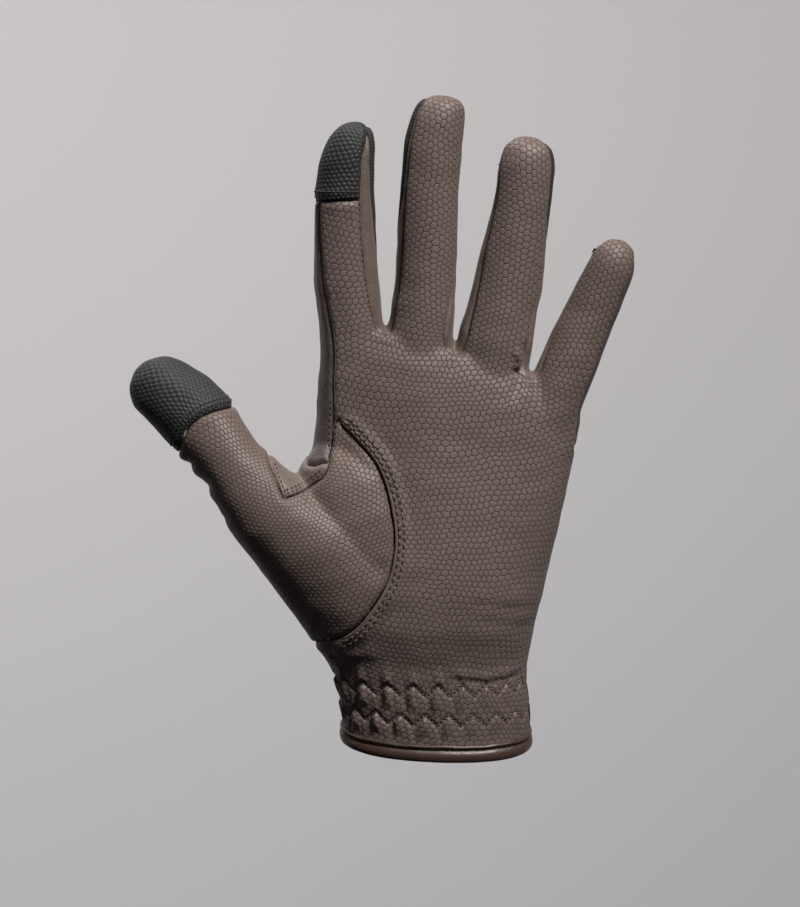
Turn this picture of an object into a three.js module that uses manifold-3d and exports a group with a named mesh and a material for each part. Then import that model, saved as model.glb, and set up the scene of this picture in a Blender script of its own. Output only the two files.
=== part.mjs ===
// Horse riding glove for the left hand, in the shape of the spread hand that fills it.
// Millimetres. +Z runs up to the fingertips, the palm faces -Y and the thumb points to -X.
// The origin is the centre of the wrist opening.
import * as THREE from 'three';
import { mergeVertices } from 'three/addons/utils/BufferGeometryUtils.js';
import Module from 'manifold-3d';

const wasm = await Module();
wasm.setup();

// Driving dimensions
const wall = 1.5;             // leather and lining together
const seamGap = 0.3;          // clearance between two pieces at a seam
const palmLength = 125;       // wrist opening to the knuckle line
const palmBreadth = 88;       // across the knuckles
const palmDepth = 30;         // palm face to back of the hand
const cuffWidth = 62.5;        // across the wrist opening
const cuffDepth = 42;         // palm side to back at the wrist opening
const cuffHeight = 32;        // gathered band above the wrist opening
const hemTilt = 12;           // degrees that the hem dips on the palm side
const bindingHeight = 5;      // folded strip round the hem
const bindingLip = 0.9;       // its thickness on each side of the wall
const gatherCount = 20;       // puckers round the elastic
const gatherDepth = 1.3;      // how far a pucker stands out
const sideSeamBack = 4;       // how far behind the middle the side seam runs at the palm
const indexTipLength = 26;    // touch patch on the index finger
const thumbTipLength = 28;    // touch patch on the thumb

// Round counts: how many corners a section has
const palmCorners = 26;
const cuffCorners = gatherCount * 3;
const fingerCorners = 14;
const thumbCorners = 16;
const innerCorners = 0.6;     // share of those that the inner face has

// Each tube is a row of sections along a leaning axis.
// root: shares of palmBreadth and palmLength. lean: degrees from +Z towards +X.
// rows: at, share of length; sway, width, share of width; tilt, degrees that a section turns;
// bow, front, back, share of depth: shift of the middle, and reach to the palm side and the back.
const palm = {
  root: [0, 0], lean: 0, length: palmLength, width: palmBreadth, depth: palmDepth, roundness: 2.4,
  rows: [
    { at: 0.22, sway: -0.030, width: 0.762, tilt: 0, bow: 0, front: 0.64, back: 0.60 },
    { at: 0.29, sway: -0.038, width: 0.787, tilt: 0, bow: 0, front: 0.65, back: 0.57 },
    { at: 0.38, sway: -0.024, width: 0.827, tilt: 0, bow: 0, front: 0.65, back: 0.53 },
    { at: 0.48, sway: -0.006, width: 0.864, tilt: 0, bow: 0, front: 0.62, back: 0.49 },
    { at: 0.64, sway: 0.018, width: 0.920, tilt: 0, bow: 0, front: 0.55, back: 0.46 },
    { at: 0.78, sway: 0.032, width: 0.972, tilt: 3, bow: 0, front: 0.48, back: 0.44 },
    { at: 0.90, sway: 0.046, width: 1.000, tilt: 9, bow: 0, front: 0.43, back: 0.42 },
    { at: 0.97, sway: 0.052, width: 0.985, tilt: 15, bow: 0, front: 0.38, back: 0.38 },
    { at: 1.02, sway: 0.050, width: 0.920, tilt: 16, bow: 0, front: 0.28, back: 0.28 },
  ],
};

const thumb = {
  root: [-0.184, 0.230], lean: -40.6, length: 125.7, width: 24, depth: 22, roundness: 2.1,
  rows: [
    { at: 0.00, sway: -0.010, width: 1.600, tilt: 19, bow: -0.05, front: 0.72, back: 0.66 },
    { at: 0.16, sway: 0.240, width: 1.830, tilt: 9, bow: -0.12, front: 0.86, back: 0.62 },
    { at: 0.34, sway: 0.200, width: 1.600, tilt: 7, bow: -0.20, front: 0.84, back: 0.60 },
    { at: 0.47, sway: 0.188, width: 1.500, tilt: 8, bow: -0.25, front: 0.70, back: 0.58 },
    { at: 0.56, sway: 0.133, width: 1.180, tilt: 9, bow: -0.26, front: 0.58, back: 0.56 },
    { at: 0.65, sway: 0.105, width: 0.930, tilt: 6, bow: -0.20, front: 0.52, back: 0.52 },
    { at: 0.78, sway: 0.120, width: 0.985, tilt: 0, bow: -0.06, front: 0.50, back: 0.50 },
    { at: 0.86, sway: 0.085, width: 0.970, tilt: 0, bow: 0.08, front: 0.48, back: 0.48 },
    { at: 0.93, sway: -0.005, width: 0.885, tilt: 0, bow: 0.17, front: 0.42, back: 0.42 },
    { at: 0.975, sway: -0.030, width: 0.640, tilt: 0, bow: 0.22, front: 0.31, back: 0.31 },
  ],
};

const index = {
  root: [-0.300, 0.900], lean: -0.8, length: 94, width: 21, depth: 18.5, roundness: 2.15,
  rows: [
    { at: 0.00, sway: 0.000, width: 1.15, tilt: 0, bow: 0.00, front: 0.54, back: 0.54 },
    { at: 0.28, sway: -0.080, width: 1.14, tilt: 0, bow: 0.02, front: 0.52, back: 0.53 },
    { at: 0.42, sway: -0.125, width: 1.04, tilt: 0, bow: 0.03, front: 0.51, back: 0.52 },
    { at: 0.58, sway: -0.165, width: 1.00, tilt: 0, bow: 0.02, front: 0.50, back: 0.50 },
    { at: 0.74, sway: -0.170, width: 0.97, tilt: 0, bow: -0.02, front: 0.50, back: 0.46 },
    { at: 0.84, sway: -0.130, width: 0.93, tilt: 0, bow: -0.06, front: 0.47, back: 0.42 },
    { at: 0.90, sway: -0.090, width: 0.87, tilt: 0, bow: -0.08, front: 0.43, back: 0.38 },
    { at: 0.95, sway: -0.065, width: 0.76, tilt: 0, bow: -0.10, front: 0.35, back: 0.31 },
    { at: 0.982, sway: -0.040, width: 0.54, tilt: 0, bow: -0.11, front: 0.24, back: 0.22 },
  ],
};

const middle = {
  root: [-0.057, 0.900], lean: 3.7, length: 104, width: 20.5, depth: 18.5, roundness: 2.15,
  rows: [
    { at: 0.00, sway: -0.060, width: 1.18, tilt: 0, bow: 0.00, front: 0.55, back: 0.55 },
    { at: 0.20, sway: -0.125, width: 1.16, tilt: 0, bow: 0.01, front: 0.54, back: 0.55 },
    { at: 0.28, sway: -0.100, width: 1.16, tilt: 0, bow: 0.02, front: 0.53, back: 0.54 },
    { at: 0.38, sway: -0.080, width: 1.05, tilt: 0, bow: 0.03, front: 0.52, back: 0.53 },
    { at: 0.52, sway: -0.093, width: 1.02, tilt: 0, bow: 0.02, front: 0.50, back: 0.51 },
    { at: 0.67, sway: -0.105, width: 0.985, tilt: 0, bow: -0.01, front: 0.50, back: 0.48 },
    { at: 0.81, sway: -0.085, width: 0.98, tilt: 0, bow: -0.06, front: 0.48, back: 0.44 },
    { at: 0.91, sway: -0.035, width: 0.90, tilt: 0, bow: -0.09, front: 0.44, back: 0.40 },
    { at: 0.958, sway: 0.010, width: 0.80, tilt: 0, bow: -0.11, front: 0.36, back: 0.33 },
    { at: 0.987, sway: 0.020, width: 0.56, tilt: 0, bow: -0.12, front: 0.25, back: 0.23 },
  ],
};

const ring = {
  root: [0.176, 0.860], lean: 8.8, length: 96, width: 20, depth: 18, roundness: 2.15,
  rows: [
    { at: 0.00, sway: 0.000, width: 1.28, tilt: 0, bow: 0.00, front: 0.55, back: 0.55 },
    { at: 0.28, sway: -0.030, width: 1.41, tilt: 0, bow: 0.01, front: 0.55, back: 0.55 },
    { at: 0.36, sway: 0.020, width: 1.25, tilt: 0, bow: 0.02, front: 0.54, back: 0.54 },
    { at: 0.46, sway: 0.065, width: 1.18, tilt: 0, bow: 0.03, front: 0.53, back: 0.53 },
    { at: 0.57, sway: 0.060, width: 1.075, tilt: 0, bow: 0.02, front: 0.51, back: 0.51 },
    { at: 0.68, sway: 0.085, width: 1.00, tilt: 0, bow: 0.00, front: 0.50, back: 0.49 },
    { at: 0.78, sway: 0.090, width: 0.945, tilt: 0, bow: -0.03, front: 0.49, back: 0.46 },
    { at: 0.885, sway: 0.060, width: 0.94, tilt: 0, bow: -0.07, front: 0.45, back: 0.42 },
    { at: 0.94, sway: 0.055, width: 0.85, tilt: 0, bow: -0.09, front: 0.38, back: 0.35 },
    { at: 0.98, sway: 0.050, width: 0.58, tilt: 0, bow: -0.10, front: 0.25, back: 0.23 },
  ],
};

const little = {
  root: [0.364, 0.800], lean: 21.8, length: 74, width: 17, depth: 15.5, roundness: 2.15,
  rows: [
    { at: 0.00, sway: 0.000, width: 1.40, tilt: 0, bow: 0.00, front: 0.62, back: 0.62 },
    { at: 0.25, sway: 0.020, width: 1.25, tilt: 0, bow: 0.00, front: 0.58, back: 0.58 },
    { at: 0.46, sway: 0.050, width: 1.13, tilt: 0, bow: 0.01, front: 0.54, back: 0.54 },
    { at: 0.61, sway: 0.100, width: 1.03, tilt: 0, bow: 0.00, front: 0.51, back: 0.51 },
    { at: 0.75, sway: 0.115, width: 0.97, tilt: 0, bow: -0.03, front: 0.50, back: 0.48 },
    { at: 0.85, sway: 0.100, width: 0.93, tilt: 0, bow: -0.06, front: 0.47, back: 0.44 },
    { at: 0.92, sway: 0.095, width: 0.85, tilt: 0, bow: -0.08, front: 0.40, back: 0.37 },
    { at: 0.97, sway: 0.090, width: 0.61, tilt: 0, bow: -0.09, front: 0.27, back: 0.25 },
  ],
};

// The gathered cuff. at: share of cuffHeight. width, depth: share of cuffWidth and cuffDepth.
// sway: share of cuffWidth. pucker: share of gatherDepth. The elastic runs where pucker is 0.
const cuffRows = [
  { at: -0.45, width: 0.985, depth: 0.985, sway: 0.002, pucker: 0 },
  { at: 0.16, width: 1.000, depth: 1.000, sway: 0.000, pucker: 0.1 },
  { at: 0.25, width: 1.005, depth: 1.000, sway: 0.000, pucker: 1 },
  { at: 0.36, width: 0.990, depth: 0.975, sway: -0.006, pucker: 0.1 },
  { at: 0.49, width: 0.995, depth: 0.965, sway: -0.014, pucker: 0.9 },
  { at: 0.61, width: 0.975, depth: 0.935, sway: -0.026, pucker: 0.1 },
  { at: 0.78, width: 1.000, depth: 0.915, sway: -0.038, pucker: 0.7 },
  { at: 1.00, width: 1.050, depth: 0.905, sway: -0.044, pucker: 0 },
];

// How far round the section, in degrees, the strips reach at a crotch, and the back panel reaches.
const crotchBack = 130;
const farBackAngle = 140;

// Strips along the fingers' sides. side: -1 towards the thumb, 1 towards the little finger.
// Rows: at, share of the finger's length; palm, back, the two seams, in degrees round the
// section from the middle of the palm side.
const sideStrips = {
  indexOuter: { finger: index, side: -1, rows: [
    { at: -0.27, palm: 24, back: 100 },
    { at: 0.00, palm: 36, back: 108 },
    { at: 0.20, palm: 40, back: 114 },
    { at: 0.42, palm: 47, back: 114 },
    { at: 0.70, palm: 54, back: 106 },
  ] },
  indexInner: { finger: index, side: 1, rows: [
    { at: 0.24, palm: 42, back: crotchBack },
    { at: 0.33, palm: 38, back: 118 },
    { at: 0.60, palm: 32, back: 78 },
    { at: 0.86, palm: 34, back: 64 },
    { at: 0.975, palm: 52, back: 58 },
  ] },
  middleOuter: { finger: middle, side: -1, rows: [
    { at: 0.21, palm: 46, back: crotchBack },
    { at: 0.31, palm: 48, back: 110 },
    { at: 0.60, palm: 52, back: 80 },
    { at: 0.86, palm: 54, back: 70 },
    { at: 0.975, palm: 62, back: 68 },
  ] },
  middleInner: { finger: middle, side: 1, rows: [
    { at: 0.18, palm: 42, back: crotchBack },
    { at: 0.27, palm: 44, back: 122 },
    { at: 0.40, palm: 60, back: 116 },
    { at: 0.56, palm: 86, back: 114 },
    { at: 0.86, palm: 86, back: 102 },
    { at: 0.975, palm: 92, back: 98 },
  ] },
  ringOuter: { finger: ring, side: -1, rows: [
    { at: 0.23, palm: 46, back: crotchBack },
    { at: 0.36, palm: 52, back: 116 },
    { at: 0.60, palm: 62, back: 100 },
    { at: 0.86, palm: 72, back: 92 },
    { at: 0.975, palm: 82, back: 88 },
  ] },
  ringInner: { finger: ring, side: 1, rows: [
    { at: 0.12, palm: 46, back: crotchBack },
    { at: 0.25, palm: 58, back: 120 },
    { at: 0.50, palm: 74, back: 108 },
    { at: 0.70, palm: 60, back: 80 },
    { at: 0.86, palm: 56, back: 72 },
    { at: 0.975, palm: 64, back: 70 },
  ] },
  littleInner: { finger: little, side: -1, rows: [
    { at: 0.28, palm: 54, back: crotchBack },
    { at: 0.42, palm: 70, back: 116 },
    { at: 0.70, palm: 80, back: 104 },
    { at: 0.96, palm: 86, back: 94 },
  ] },
  littleOuter: { finger: little, side: 1, rows: [
    { at: 0.02, palm: 84, back: 98 },
    { at: 0.20, palm: 74, back: 112 },
    { at: 0.50, palm: 62, back: 112 },
    { at: 0.85, palm: 60, back: 100 },
    { at: 0.96, palm: 72, back: 80 },
  ] },
};
const stripReach = 1.3;       // how far past the finger a strip's cutter runs, in radii

// Where two fingers part, as shares of palmBreadth and palmLength. The side strips join there.
const webs = {
  indexMiddle: [-0.197, 1.098],
  middleRing: [0.050, 1.066],
  ringLittle: [0.375, 1.005],
};
const webReach = 6.5;         // half the width and height of the diamond that joins two strips
const webDepth = 5.5;         // half of its thickness

// Seams drawn on the palm side. Points are shares of palmBreadth and palmLength.
const thenarSeam = [
  [-0.360, 0.853], [-0.240, 0.774], [-0.161, 0.668], [-0.135, 0.536],
  [-0.173, 0.390], [-0.285, 0.285], [-0.420, 0.256],
];
const gussetCorner = [-0.566, 0.662];   // lowest point of the gusset
const gussetInner = [-0.435, 0.700];    // where it meets the thumb seam
const gussetThumb = [-0.660, 0.800];    // where it leaves the thumb
// Runs along the side strip.
const gussetTop = [[-0.456, 0.735], [-0.474, 0.760], [-0.474, 0.950], [-0.600, 0.950]];
const thumbBackSeam = [[-0.535, 0.760], [-0.470, 0.560], [-0.400, 0.380], [-0.385, 0.256]];
const outside = { left: -1.6, right: 1.6, bottom: -0.4, top: 2.4 };  // clear of the glove, same shares
const splineSteps = 5;

const degrees = Math.PI / 180;
const toPalm = new THREE.Vector3(0, -1, 0);
const farDepth = palmDepth * 3;

// Interpolates every column of a table at a position along it.
function rowAt(rows, at) {
  if (at <= rows[0].at) return { ...rows[0], at };
  const next = rows.findIndex((row) => row.at >= at);
  if (next < 0) return { ...rows[rows.length - 1], at };
  const [low, high] = [rows[next - 1], rows[next]];
  const share = (at - low.at) / (high.at - low.at);
  const columns = Object.keys(low).map((key) => [key, THREE.MathUtils.lerp(low[key], high[key], share)]);
  return Object.fromEntries(columns);
}

function solidFrom(geometry) {
  geometry.deleteAttribute('normal');
  geometry.deleteAttribute('uv');
  const merged = mergeVertices(geometry, 1e-4);
  return new wasm.Manifold(new wasm.Mesh({
    numProp: 3,
    vertProperties: new Float32Array(merged.attributes.position.array),
    triVerts: new Uint32Array(merged.index.array),
  }));
}

function geometryFrom(solid) {
  const mesh = solid.getMesh();
  const geometry = new THREE.BufferGeometry();
  geometry.setAttribute('position', new THREE.BufferAttribute(mesh.vertProperties, 3));
  geometry.setIndex(new THREE.BufferAttribute(mesh.triVerts, 1));
  geometry.computeVertexNormals();
  return geometry;
}

// Skins a stack of rings and closes each end on a point. Rings turn anticlockwise seen from the top.
function loft(rings, bottom, top) {
  const corners = rings[0].length;
  const points = [...rings.flat(), bottom, top];
  const bottomId = points.length - 2;
  const topId = points.length - 1;
  const triangles = [];
  for (let corner = 0; corner < corners; corner++) {
    const next = (corner + 1) % corners;
    triangles.push(bottomId, next, corner);
    for (let level = 0; level + 1 < rings.length; level++) {
      const low = level * corners;
      const high = low + corners;
      triangles.push(low + corner, low + next, high + next, low + corner, high + next, high + corner);
    }
    const last = (rings.length - 1) * corners;
    triangles.push(last + corner, last + next, topId);
  }
  const geometry = new THREE.BufferGeometry().setFromPoints(points);
  geometry.setIndex(triangles);
  return solidFrom(geometry);
}

// The middle, directions and reach of a tube's section.
function sectionAt(tube, at) {
  const row = rowAt(tube.rows, at);
  const lean = tube.lean * degrees;
  const along = new THREE.Vector3(Math.sin(lean), 0, Math.cos(lean));
  const acrossAxis = new THREE.Vector3(Math.cos(lean), 0, -Math.sin(lean));
  const turn = lean + row.tilt * degrees;
  const [across, up] = tube.root;
  const middlePoint = new THREE.Vector3(across * palmBreadth, row.bow * tube.depth, up * palmLength)
    .addScaledVector(along, at * tube.length)
    .addScaledVector(acrossAxis, row.sway * tube.width);
  return {
    middle: middlePoint,
    across: new THREE.Vector3(Math.cos(turn), 0, -Math.sin(turn)),
    halfWidth: row.width * tube.width / 2,
    front: row.front * tube.depth,
    back: row.back * tube.depth,
    roundness: tube.roundness,
  };
}

// A point on a section, at an angle from the middle of the palm side, towards +across.
function sectionPoint(section, angle, inset = 0, reach = 1) {
  const rounded = (share) => Math.sign(share) * Math.abs(share) ** (2 / section.roundness);
  const aside = rounded(Math.sin(angle)) * (section.halfWidth - inset) * reach;
  const ahead = rounded(Math.cos(angle));
  const deep = ahead * ((ahead > 0 ? section.front : section.back) - inset) * reach;
  return section.middle.clone().addScaledVector(section.across, aside).addScaledVector(toPalm, deep);
}

// A tube as a closed solid, shrunk by inset on every side.
function tubeSolid(tube, corners, inset = 0) {
  const shrink = 1 - inset / tube.length;
  const rings = tube.rows.map((row) => {
    const section = sectionAt(tube, row.at);
    section.middle = sectionAt(tube, row.at * shrink).middle;
    return Array.from({ length: corners }, (_, i) => sectionPoint(section, i / corners * 2 * Math.PI, inset));
  });
  const first = sectionAt(tube, tube.rows[0].at * shrink).middle;
  const last = tube === palm ? tube.rows[tube.rows.length - 1].at : 1;
  return loft(rings, first, sectionAt(tube, last * shrink).middle);
}

// The middle, directions and reach of the cuff's section.
function cuffSection(row) {
  return {
    middle: new THREE.Vector3(row.sway * cuffWidth, 0, row.at * cuffHeight),
    across: new THREE.Vector3(1, 0, 0),
    halfWidth: row.width * cuffWidth / 2,
    front: row.depth * cuffDepth / 2,
    back: row.depth * cuffDepth / 2,
    roundness: 2.1,
  };
}

// A point of the cuff, which dips with the hem and levels out towards the palm.
function cuffPoint(row, angle, inset) {
  const point = sectionPoint(cuffSection(row), angle, inset);
  point.z += point.y * Math.tan(hemTilt * degrees) * (1 - row.at);
  return point;
}

// The cuff as a closed solid. Puckers stand out on the outer face only.
function cuffSolid(corners, inset = 0) {
  const rings = cuffRows.map((row, level) => {
    const lift = inset === 0 ? row.pucker * gatherDepth : 0;
    return Array.from({ length: corners }, (_, i) => {
      const turn = i / corners * gatherCount + level * 0.5;
      const pucker = lift * (0.5 + 0.5 * Math.cos(turn * 2 * Math.PI));
      return cuffPoint(row, i / corners * 2 * Math.PI, inset - pucker);
    });
  });
  const below = cuffSection(cuffRows[0]).middle;
  const above = cuffSection(cuffRows[cuffRows.length - 1]).middle;
  if (inset > 0) {
    below.z -= cuffHeight;
    rings[0].forEach((point) => point.setZ(point.z - cuffHeight));
  }
  return loft(rings, below, above);
}

function joined(solids) {
  return solids.reduce((sum, solid) => sum.add(solid));
}

// Moves each corner of a closed outline outwards.
function grownOutline(points, distance) {
  const turn = THREE.ShapeUtils.area(points) > 0 ? 1 : -1;
  return points.map((point, i) => {
    const before = points[(i + points.length - 1) % points.length];
    const after = points[(i + 1) % points.length];
    const inward = point.clone().sub(before).normalize();
    const outward = after.clone().sub(point).normalize();
    const normal = new THREE.Vector2(inward.y + outward.y, -inward.x - outward.x).multiplyScalar(turn);
    const sharpness = Math.max(normal.lengthSq() / 4, 0.25);
    return point.clone().addScaledVector(normal, distance / 2 / sharpness);
  });
}

// A prism with its outline in the X-Z plane, between two depths.
function prism(points, nearY, farY, grow = 0) {
  const shape = new THREE.Shape(grow ? grownOutline(points, grow) : points);
  const geometry = new THREE.ExtrudeGeometry(shape, { depth: farY - nearY + 2 * grow, bevelEnabled: false });
  return solidFrom(geometry.rotateX(Math.PI / 2).translate(0, farY + grow, 0));
}

// A prism with its outline in the Y-Z plane, right across the glove.
function crossPrism(points) {
  const shape = new THREE.Shape(points);
  const span = palmBreadth * (outside.right - outside.left);
  const geometry = new THREE.ExtrudeGeometry(shape, { depth: span, bevelEnabled: false });
  return solidFrom(geometry.rotateX(Math.PI / 2).rotateZ(Math.PI / 2).translate(palmBreadth * outside.left, 0, 0));
}

const palmPoint = ([across, up]) => new THREE.Vector2(across * palmBreadth, up * palmLength);

// The wedge that cuts a side strip out of a finger's wall.
function stripCutter({ finger, side, rows }, grow = 0) {
  const reach = stripReach + 4 * grow / finger.width;
  const reachOut = (section, degreesRound) => sectionPoint(section, side * degreesRound * degrees, 0, reach);
  const rings = rows.map((row, level) => {
    const end = level === 0 ? -1 : level === rows.length - 1 ? 1 : 0;
    const section = sectionAt(finger, row.at + end * grow / finger.length);
    const spread = grow / (finger.width / 2) / degrees;
    const from = row.palm - spread;
    const to = row.back + spread;
    const rim = [0, 1 / 3, 2 / 3, 1].map((share) => reachOut(section, THREE.MathUtils.lerp(from, to, share)));
    const corners = [section.middle, ...rim];
    return side > 0 ? corners : corners.reverse();
  });
  const centre = (corners) => corners
    .reduce((sum, point) => sum.add(point), new THREE.Vector3()).divideScalar(corners.length);
  return loft(rings, centre(rings[0]), centre(rings[rings.length - 1]));
}

// The diamond that joins two strips where their fingers part.
function webCutter(web, grow = 0) {
  const centre = palmPoint(web);
  const corners = [[-1, 0], [0, -1], [1, 0], [0, 1]];
  const outline = corners.map(([across, up]) => new THREE.Vector2(across, up).multiplyScalar(webReach).add(centre));
  return prism(outline, -webDepth, webDepth, grow);
}

function fourchetteCutter(near, far, web, grow) {
  return joined([stripCutter(sideStrips[near], grow), stripCutter(sideStrips[far], grow), webCutter(web, grow)]);
}

// Everything on the palm side, or on the back, of the seam that runs down the glove's edges.
function halfCutter(side) {
  const lines = [
    { up: outside.bottom, back: sideSeamBack },
    { up: 0.68, back: sideSeamBack },
    { up: 0.84, back: 0 },
    { up: 1.30, back: 0 },
    { up: 1.60, back: -palmDepth * 0.05 },
    { up: outside.top, back: -palmDepth * 0.05 },
  ];
  const seam = lines.map(({ up, back }) => new THREE.Vector2(back + side * seamGap / 2, up * palmLength));
  const edge = [outside.top, outside.bottom].map((up) => new THREE.Vector2(side * farDepth, up * palmLength));
  return crossPrism([...seam, ...edge]);
}

// The thumb's own panel: a rounded seam on the palm side, a plain one on the back.
function thumbCutter(grow = 0) {
  const seam = new THREE.SplineCurve(thenarSeam.map(palmPoint)).getPoints(splineSteps * (thenarSeam.length - 1));
  const frontOutline = [
    ...seam,
    ...[[-0.60, 0.16], [outside.left, 0.40], [outside.left, 1.20], [gussetThumb[0], 1.20]].map(palmPoint),
    ...[gussetThumb, gussetCorner, gussetInner].map(palmPoint),
  ];
  const backOutline = [
    ...thumbBackSeam,
    [-0.60, 0.16], [outside.left, 0.40], [outside.left, 1.20], [gussetThumb[0], 1.20], gussetThumb,
  ].map(palmPoint);
  return prism(frontOutline, -farDepth, sideSeamBack, grow)
    .add(prism(backOutline, sideSeamBack - seamGap, farDepth, grow));
}

function gussetCutter(grow = 0) {
  const outline = [gussetThumb, gussetCorner, gussetInner, ...gussetTop].map(palmPoint);
  return prism(outline, -farDepth, palmDepth * 0.45, grow);
}

// Everything past a line across a finger, counted back from its tip.
function tipCutter(finger, length, grow = 0) {
  const section = sectionAt(finger, 1 - (length + grow) / finger.length);
  const lean = finger.lean * degrees;
  const along = new THREE.Vector3(Math.sin(lean), 0, Math.cos(lean)).multiplyScalar(length + finger.width);
  const reach = section.across.clone().multiplyScalar(finger.width * 0.85);
  const corner = (across, up) => section.middle.clone().addScaledVector(reach, across).addScaledVector(along, up);
  const outline = [corner(-1, 0), corner(1, 0), corner(1, 1), corner(-1, 1)]
    .map(({ x, z }) => new THREE.Vector2(x, z));
  return prism(outline, -farDepth, farDepth);
}

// The strip folded round the hem: a channel that the wall's edge stands in.
function bindingSolid() {
  const outer = seamGap + bindingLip;
  const inner = wall + seamGap + bindingLip;
  const channel = [
    { out: outer * 0.55, up: -bindingLip * 1.3 }, { out: outer, up: 0 },
    { out: outer, up: bindingHeight * 0.92 }, { out: outer * 0.7, up: bindingHeight },
    { out: seamGap, up: bindingHeight }, { out: seamGap, up: 0 },
    { out: -wall - seamGap, up: 0 }, { out: -wall - seamGap, up: bindingHeight },
    { out: -inner, up: bindingHeight * 0.9 }, { out: -inner, up: 0 }, { out: -inner * 0.8, up: -bindingLip * 1.3 },
  ];
  const corners = gatherCount * 1.5;
  const points = [];
  const triangles = [];
  for (let corner = 0; corner < corners; corner++) {
    channel.forEach(({ out, up }, i) => {
      points.push(cuffPoint(rowAt(cuffRows, up / cuffHeight), corner / corners * 2 * Math.PI, -out));
      const next = (i + 1) % channel.length;
      const here = corner * channel.length;
      const there = (corner + 1) % corners * channel.length;
      triangles.push(here + i, there + i, there + next, here + i, there + next, here + next);
    });
  }
  const geometry = new THREE.BufferGeometry().setFromPoints(points);
  geometry.setIndex(triangles);
  return solidFrom(geometry);
}

// Everything above the hem, where the wall's edge stands in the binding.
function aboveHem() {
  const slope = Math.tan(hemTilt * degrees);
  const bottomAt = (y) => new THREE.Vector2(y, y * slope + seamGap);
  const top = outside.top * palmLength;
  const topAt = (depth) => new THREE.Vector2(depth, top);
  return crossPrism([bottomAt(-farDepth), bottomAt(farDepth), topAt(farDepth), topAt(-farDepth)]);
}

// The largest body of a cut: the rest are crumbs at the seams' ends.
function mainBody(solid) {
  return solid.decompose().reduce((best, body) => (body.volume() > best.volume() ? body : best));
}

const fingers = [index, middle, ring, little];
function handForm(inset) {
  const corners = (count) => Math.round(inset ? count * innerCorners : count);
  return joined([
    cuffSolid(inset ? palmCorners : cuffCorners, inset),
    tubeSolid(palm, corners(palmCorners), inset),
    tubeSolid(thumb, corners(thumbCorners), inset),
    ...fingers.map((finger) => tubeSolid(finger, corners(fingerCorners), inset)),
  ]);
}

const shell = handForm(0).subtract(handForm(wall)).intersect(aboveHem());

// Each piece is cut from the shell. A piece that comes later stays clear of those before it.
const pieceCutters = {
  index_touch_tip: (grow) => tipCutter(index, indexTipLength, grow),
  thumb_touch_tip: (grow) => tipCutter(thumb, thumbTipLength, grow),
  fourchette_index_middle: (grow) => fourchetteCutter('indexInner', 'middleOuter', webs.indexMiddle, grow),
  fourchette_middle_ring: (grow) => fourchetteCutter('middleInner', 'ringOuter', webs.middleRing, grow),
  fourchette_ring_little: (grow) => fourchetteCutter('ringInner', 'littleInner', webs.ringLittle, grow),
  index_side_strip: (grow) => stripCutter(sideStrips.indexOuter, grow),
  little_side_strip: (grow) => stripCutter(sideStrips.littleOuter, grow),
  thumb_gusset: (grow) => gussetCutter(grow),
  thumb_panel: (grow) => thumbCutter(grow),
};

// Where a strip's back seam lies on the palm side, the back panel comes round to meet it.
const roundTheEdge = ['indexInner', 'middleOuter', 'ringInner'].map((name) => {
  const { finger, side, rows } = sideStrips[name];
  const halved = rows.map(({ at, palm: front, back }) => ({ at, palm: (front + back) / 2, back: farBackAngle }));
  return { finger, side, rows: halved };
});
const palmHalf = roundTheEdge
  .reduce((half, strip) => half.subtract(stripCutter(strip, seamGap)), halfCutter(-1));
const backHalf = joined([halfCutter(1), ...roundTheEdge.map((strip) => stripCutter(strip))]);
const cut = (name) => shell.intersect(pieceCutters[name](0));
const grown = (name) => pieceCutters[name](seamGap);
const stripNames = Object.keys(pieceCutters)
  .filter((name) => name.startsWith('fourchette') || name.endsWith('strip'));
const clearOf = (solid, names) => names.reduce((rest, name) => rest.subtract(grown(name)), solid);

const indexPatch = clearOf(cut('index_touch_tip').intersect(palmHalf), ['fourchette_index_middle']);
const pieces = {
  index_touch_tip: indexPatch,
  thumb_touch_tip: cut('thumb_touch_tip'),
  thumb_panel: clearOf(cut('thumb_panel'), ['thumb_touch_tip']),
  thumb_gusset: clearOf(cut('thumb_gusset'), ['thumb_panel']),
};
for (const name of stripNames) {
  const patch = name === 'index_side_strip' ? ['index_touch_tip', 'thumb_panel', 'thumb_gusset'] : [];
  pieces[name] = clearOf(cut(name), patch);
}
const rest = clearOf(shell, [...stripNames, 'thumb_gusset', 'thumb_panel', 'thumb_touch_tip']);
pieces.palm_panel = clearOf(rest.intersect(palmHalf), ['index_touch_tip']);
pieces.back_panel = rest.intersect(backHalf);
pieces.hem_binding = bindingSolid();

// Colours and finish of each piece
const grainLeather = { color: 0x685c56, roughness: 0.55, metalness: 0 };
const smoothLeather = { color: 0x5c504b, roughness: 0.5, metalness: 0 };
const touchLeather = { color: 0x2b2c2d, roughness: 0.6, metalness: 0 };
const backFabric = { color: 0x1f1e20, roughness: 0.85, metalness: 0 };
const bindingLeather = { color: 0x3b312a, roughness: 0.4, metalness: 0 };
const finishes = {
  palm_panel: grainLeather,
  thumb_panel: grainLeather,
  index_touch_tip: touchLeather,
  thumb_touch_tip: touchLeather,
  back_panel: backFabric,
  hem_binding: bindingLeather,
};

const glove = new THREE.Group();
for (const [name, solid] of Object.entries(pieces)) {
  const material = new THREE.MeshStandardMaterial(finishes[name] ?? smoothLeather);
  const mesh = new THREE.Mesh(geometryFrom(mainBody(solid)), material);
  mesh.name = name;
  glove.add(mesh);
}

export default glove;
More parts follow.
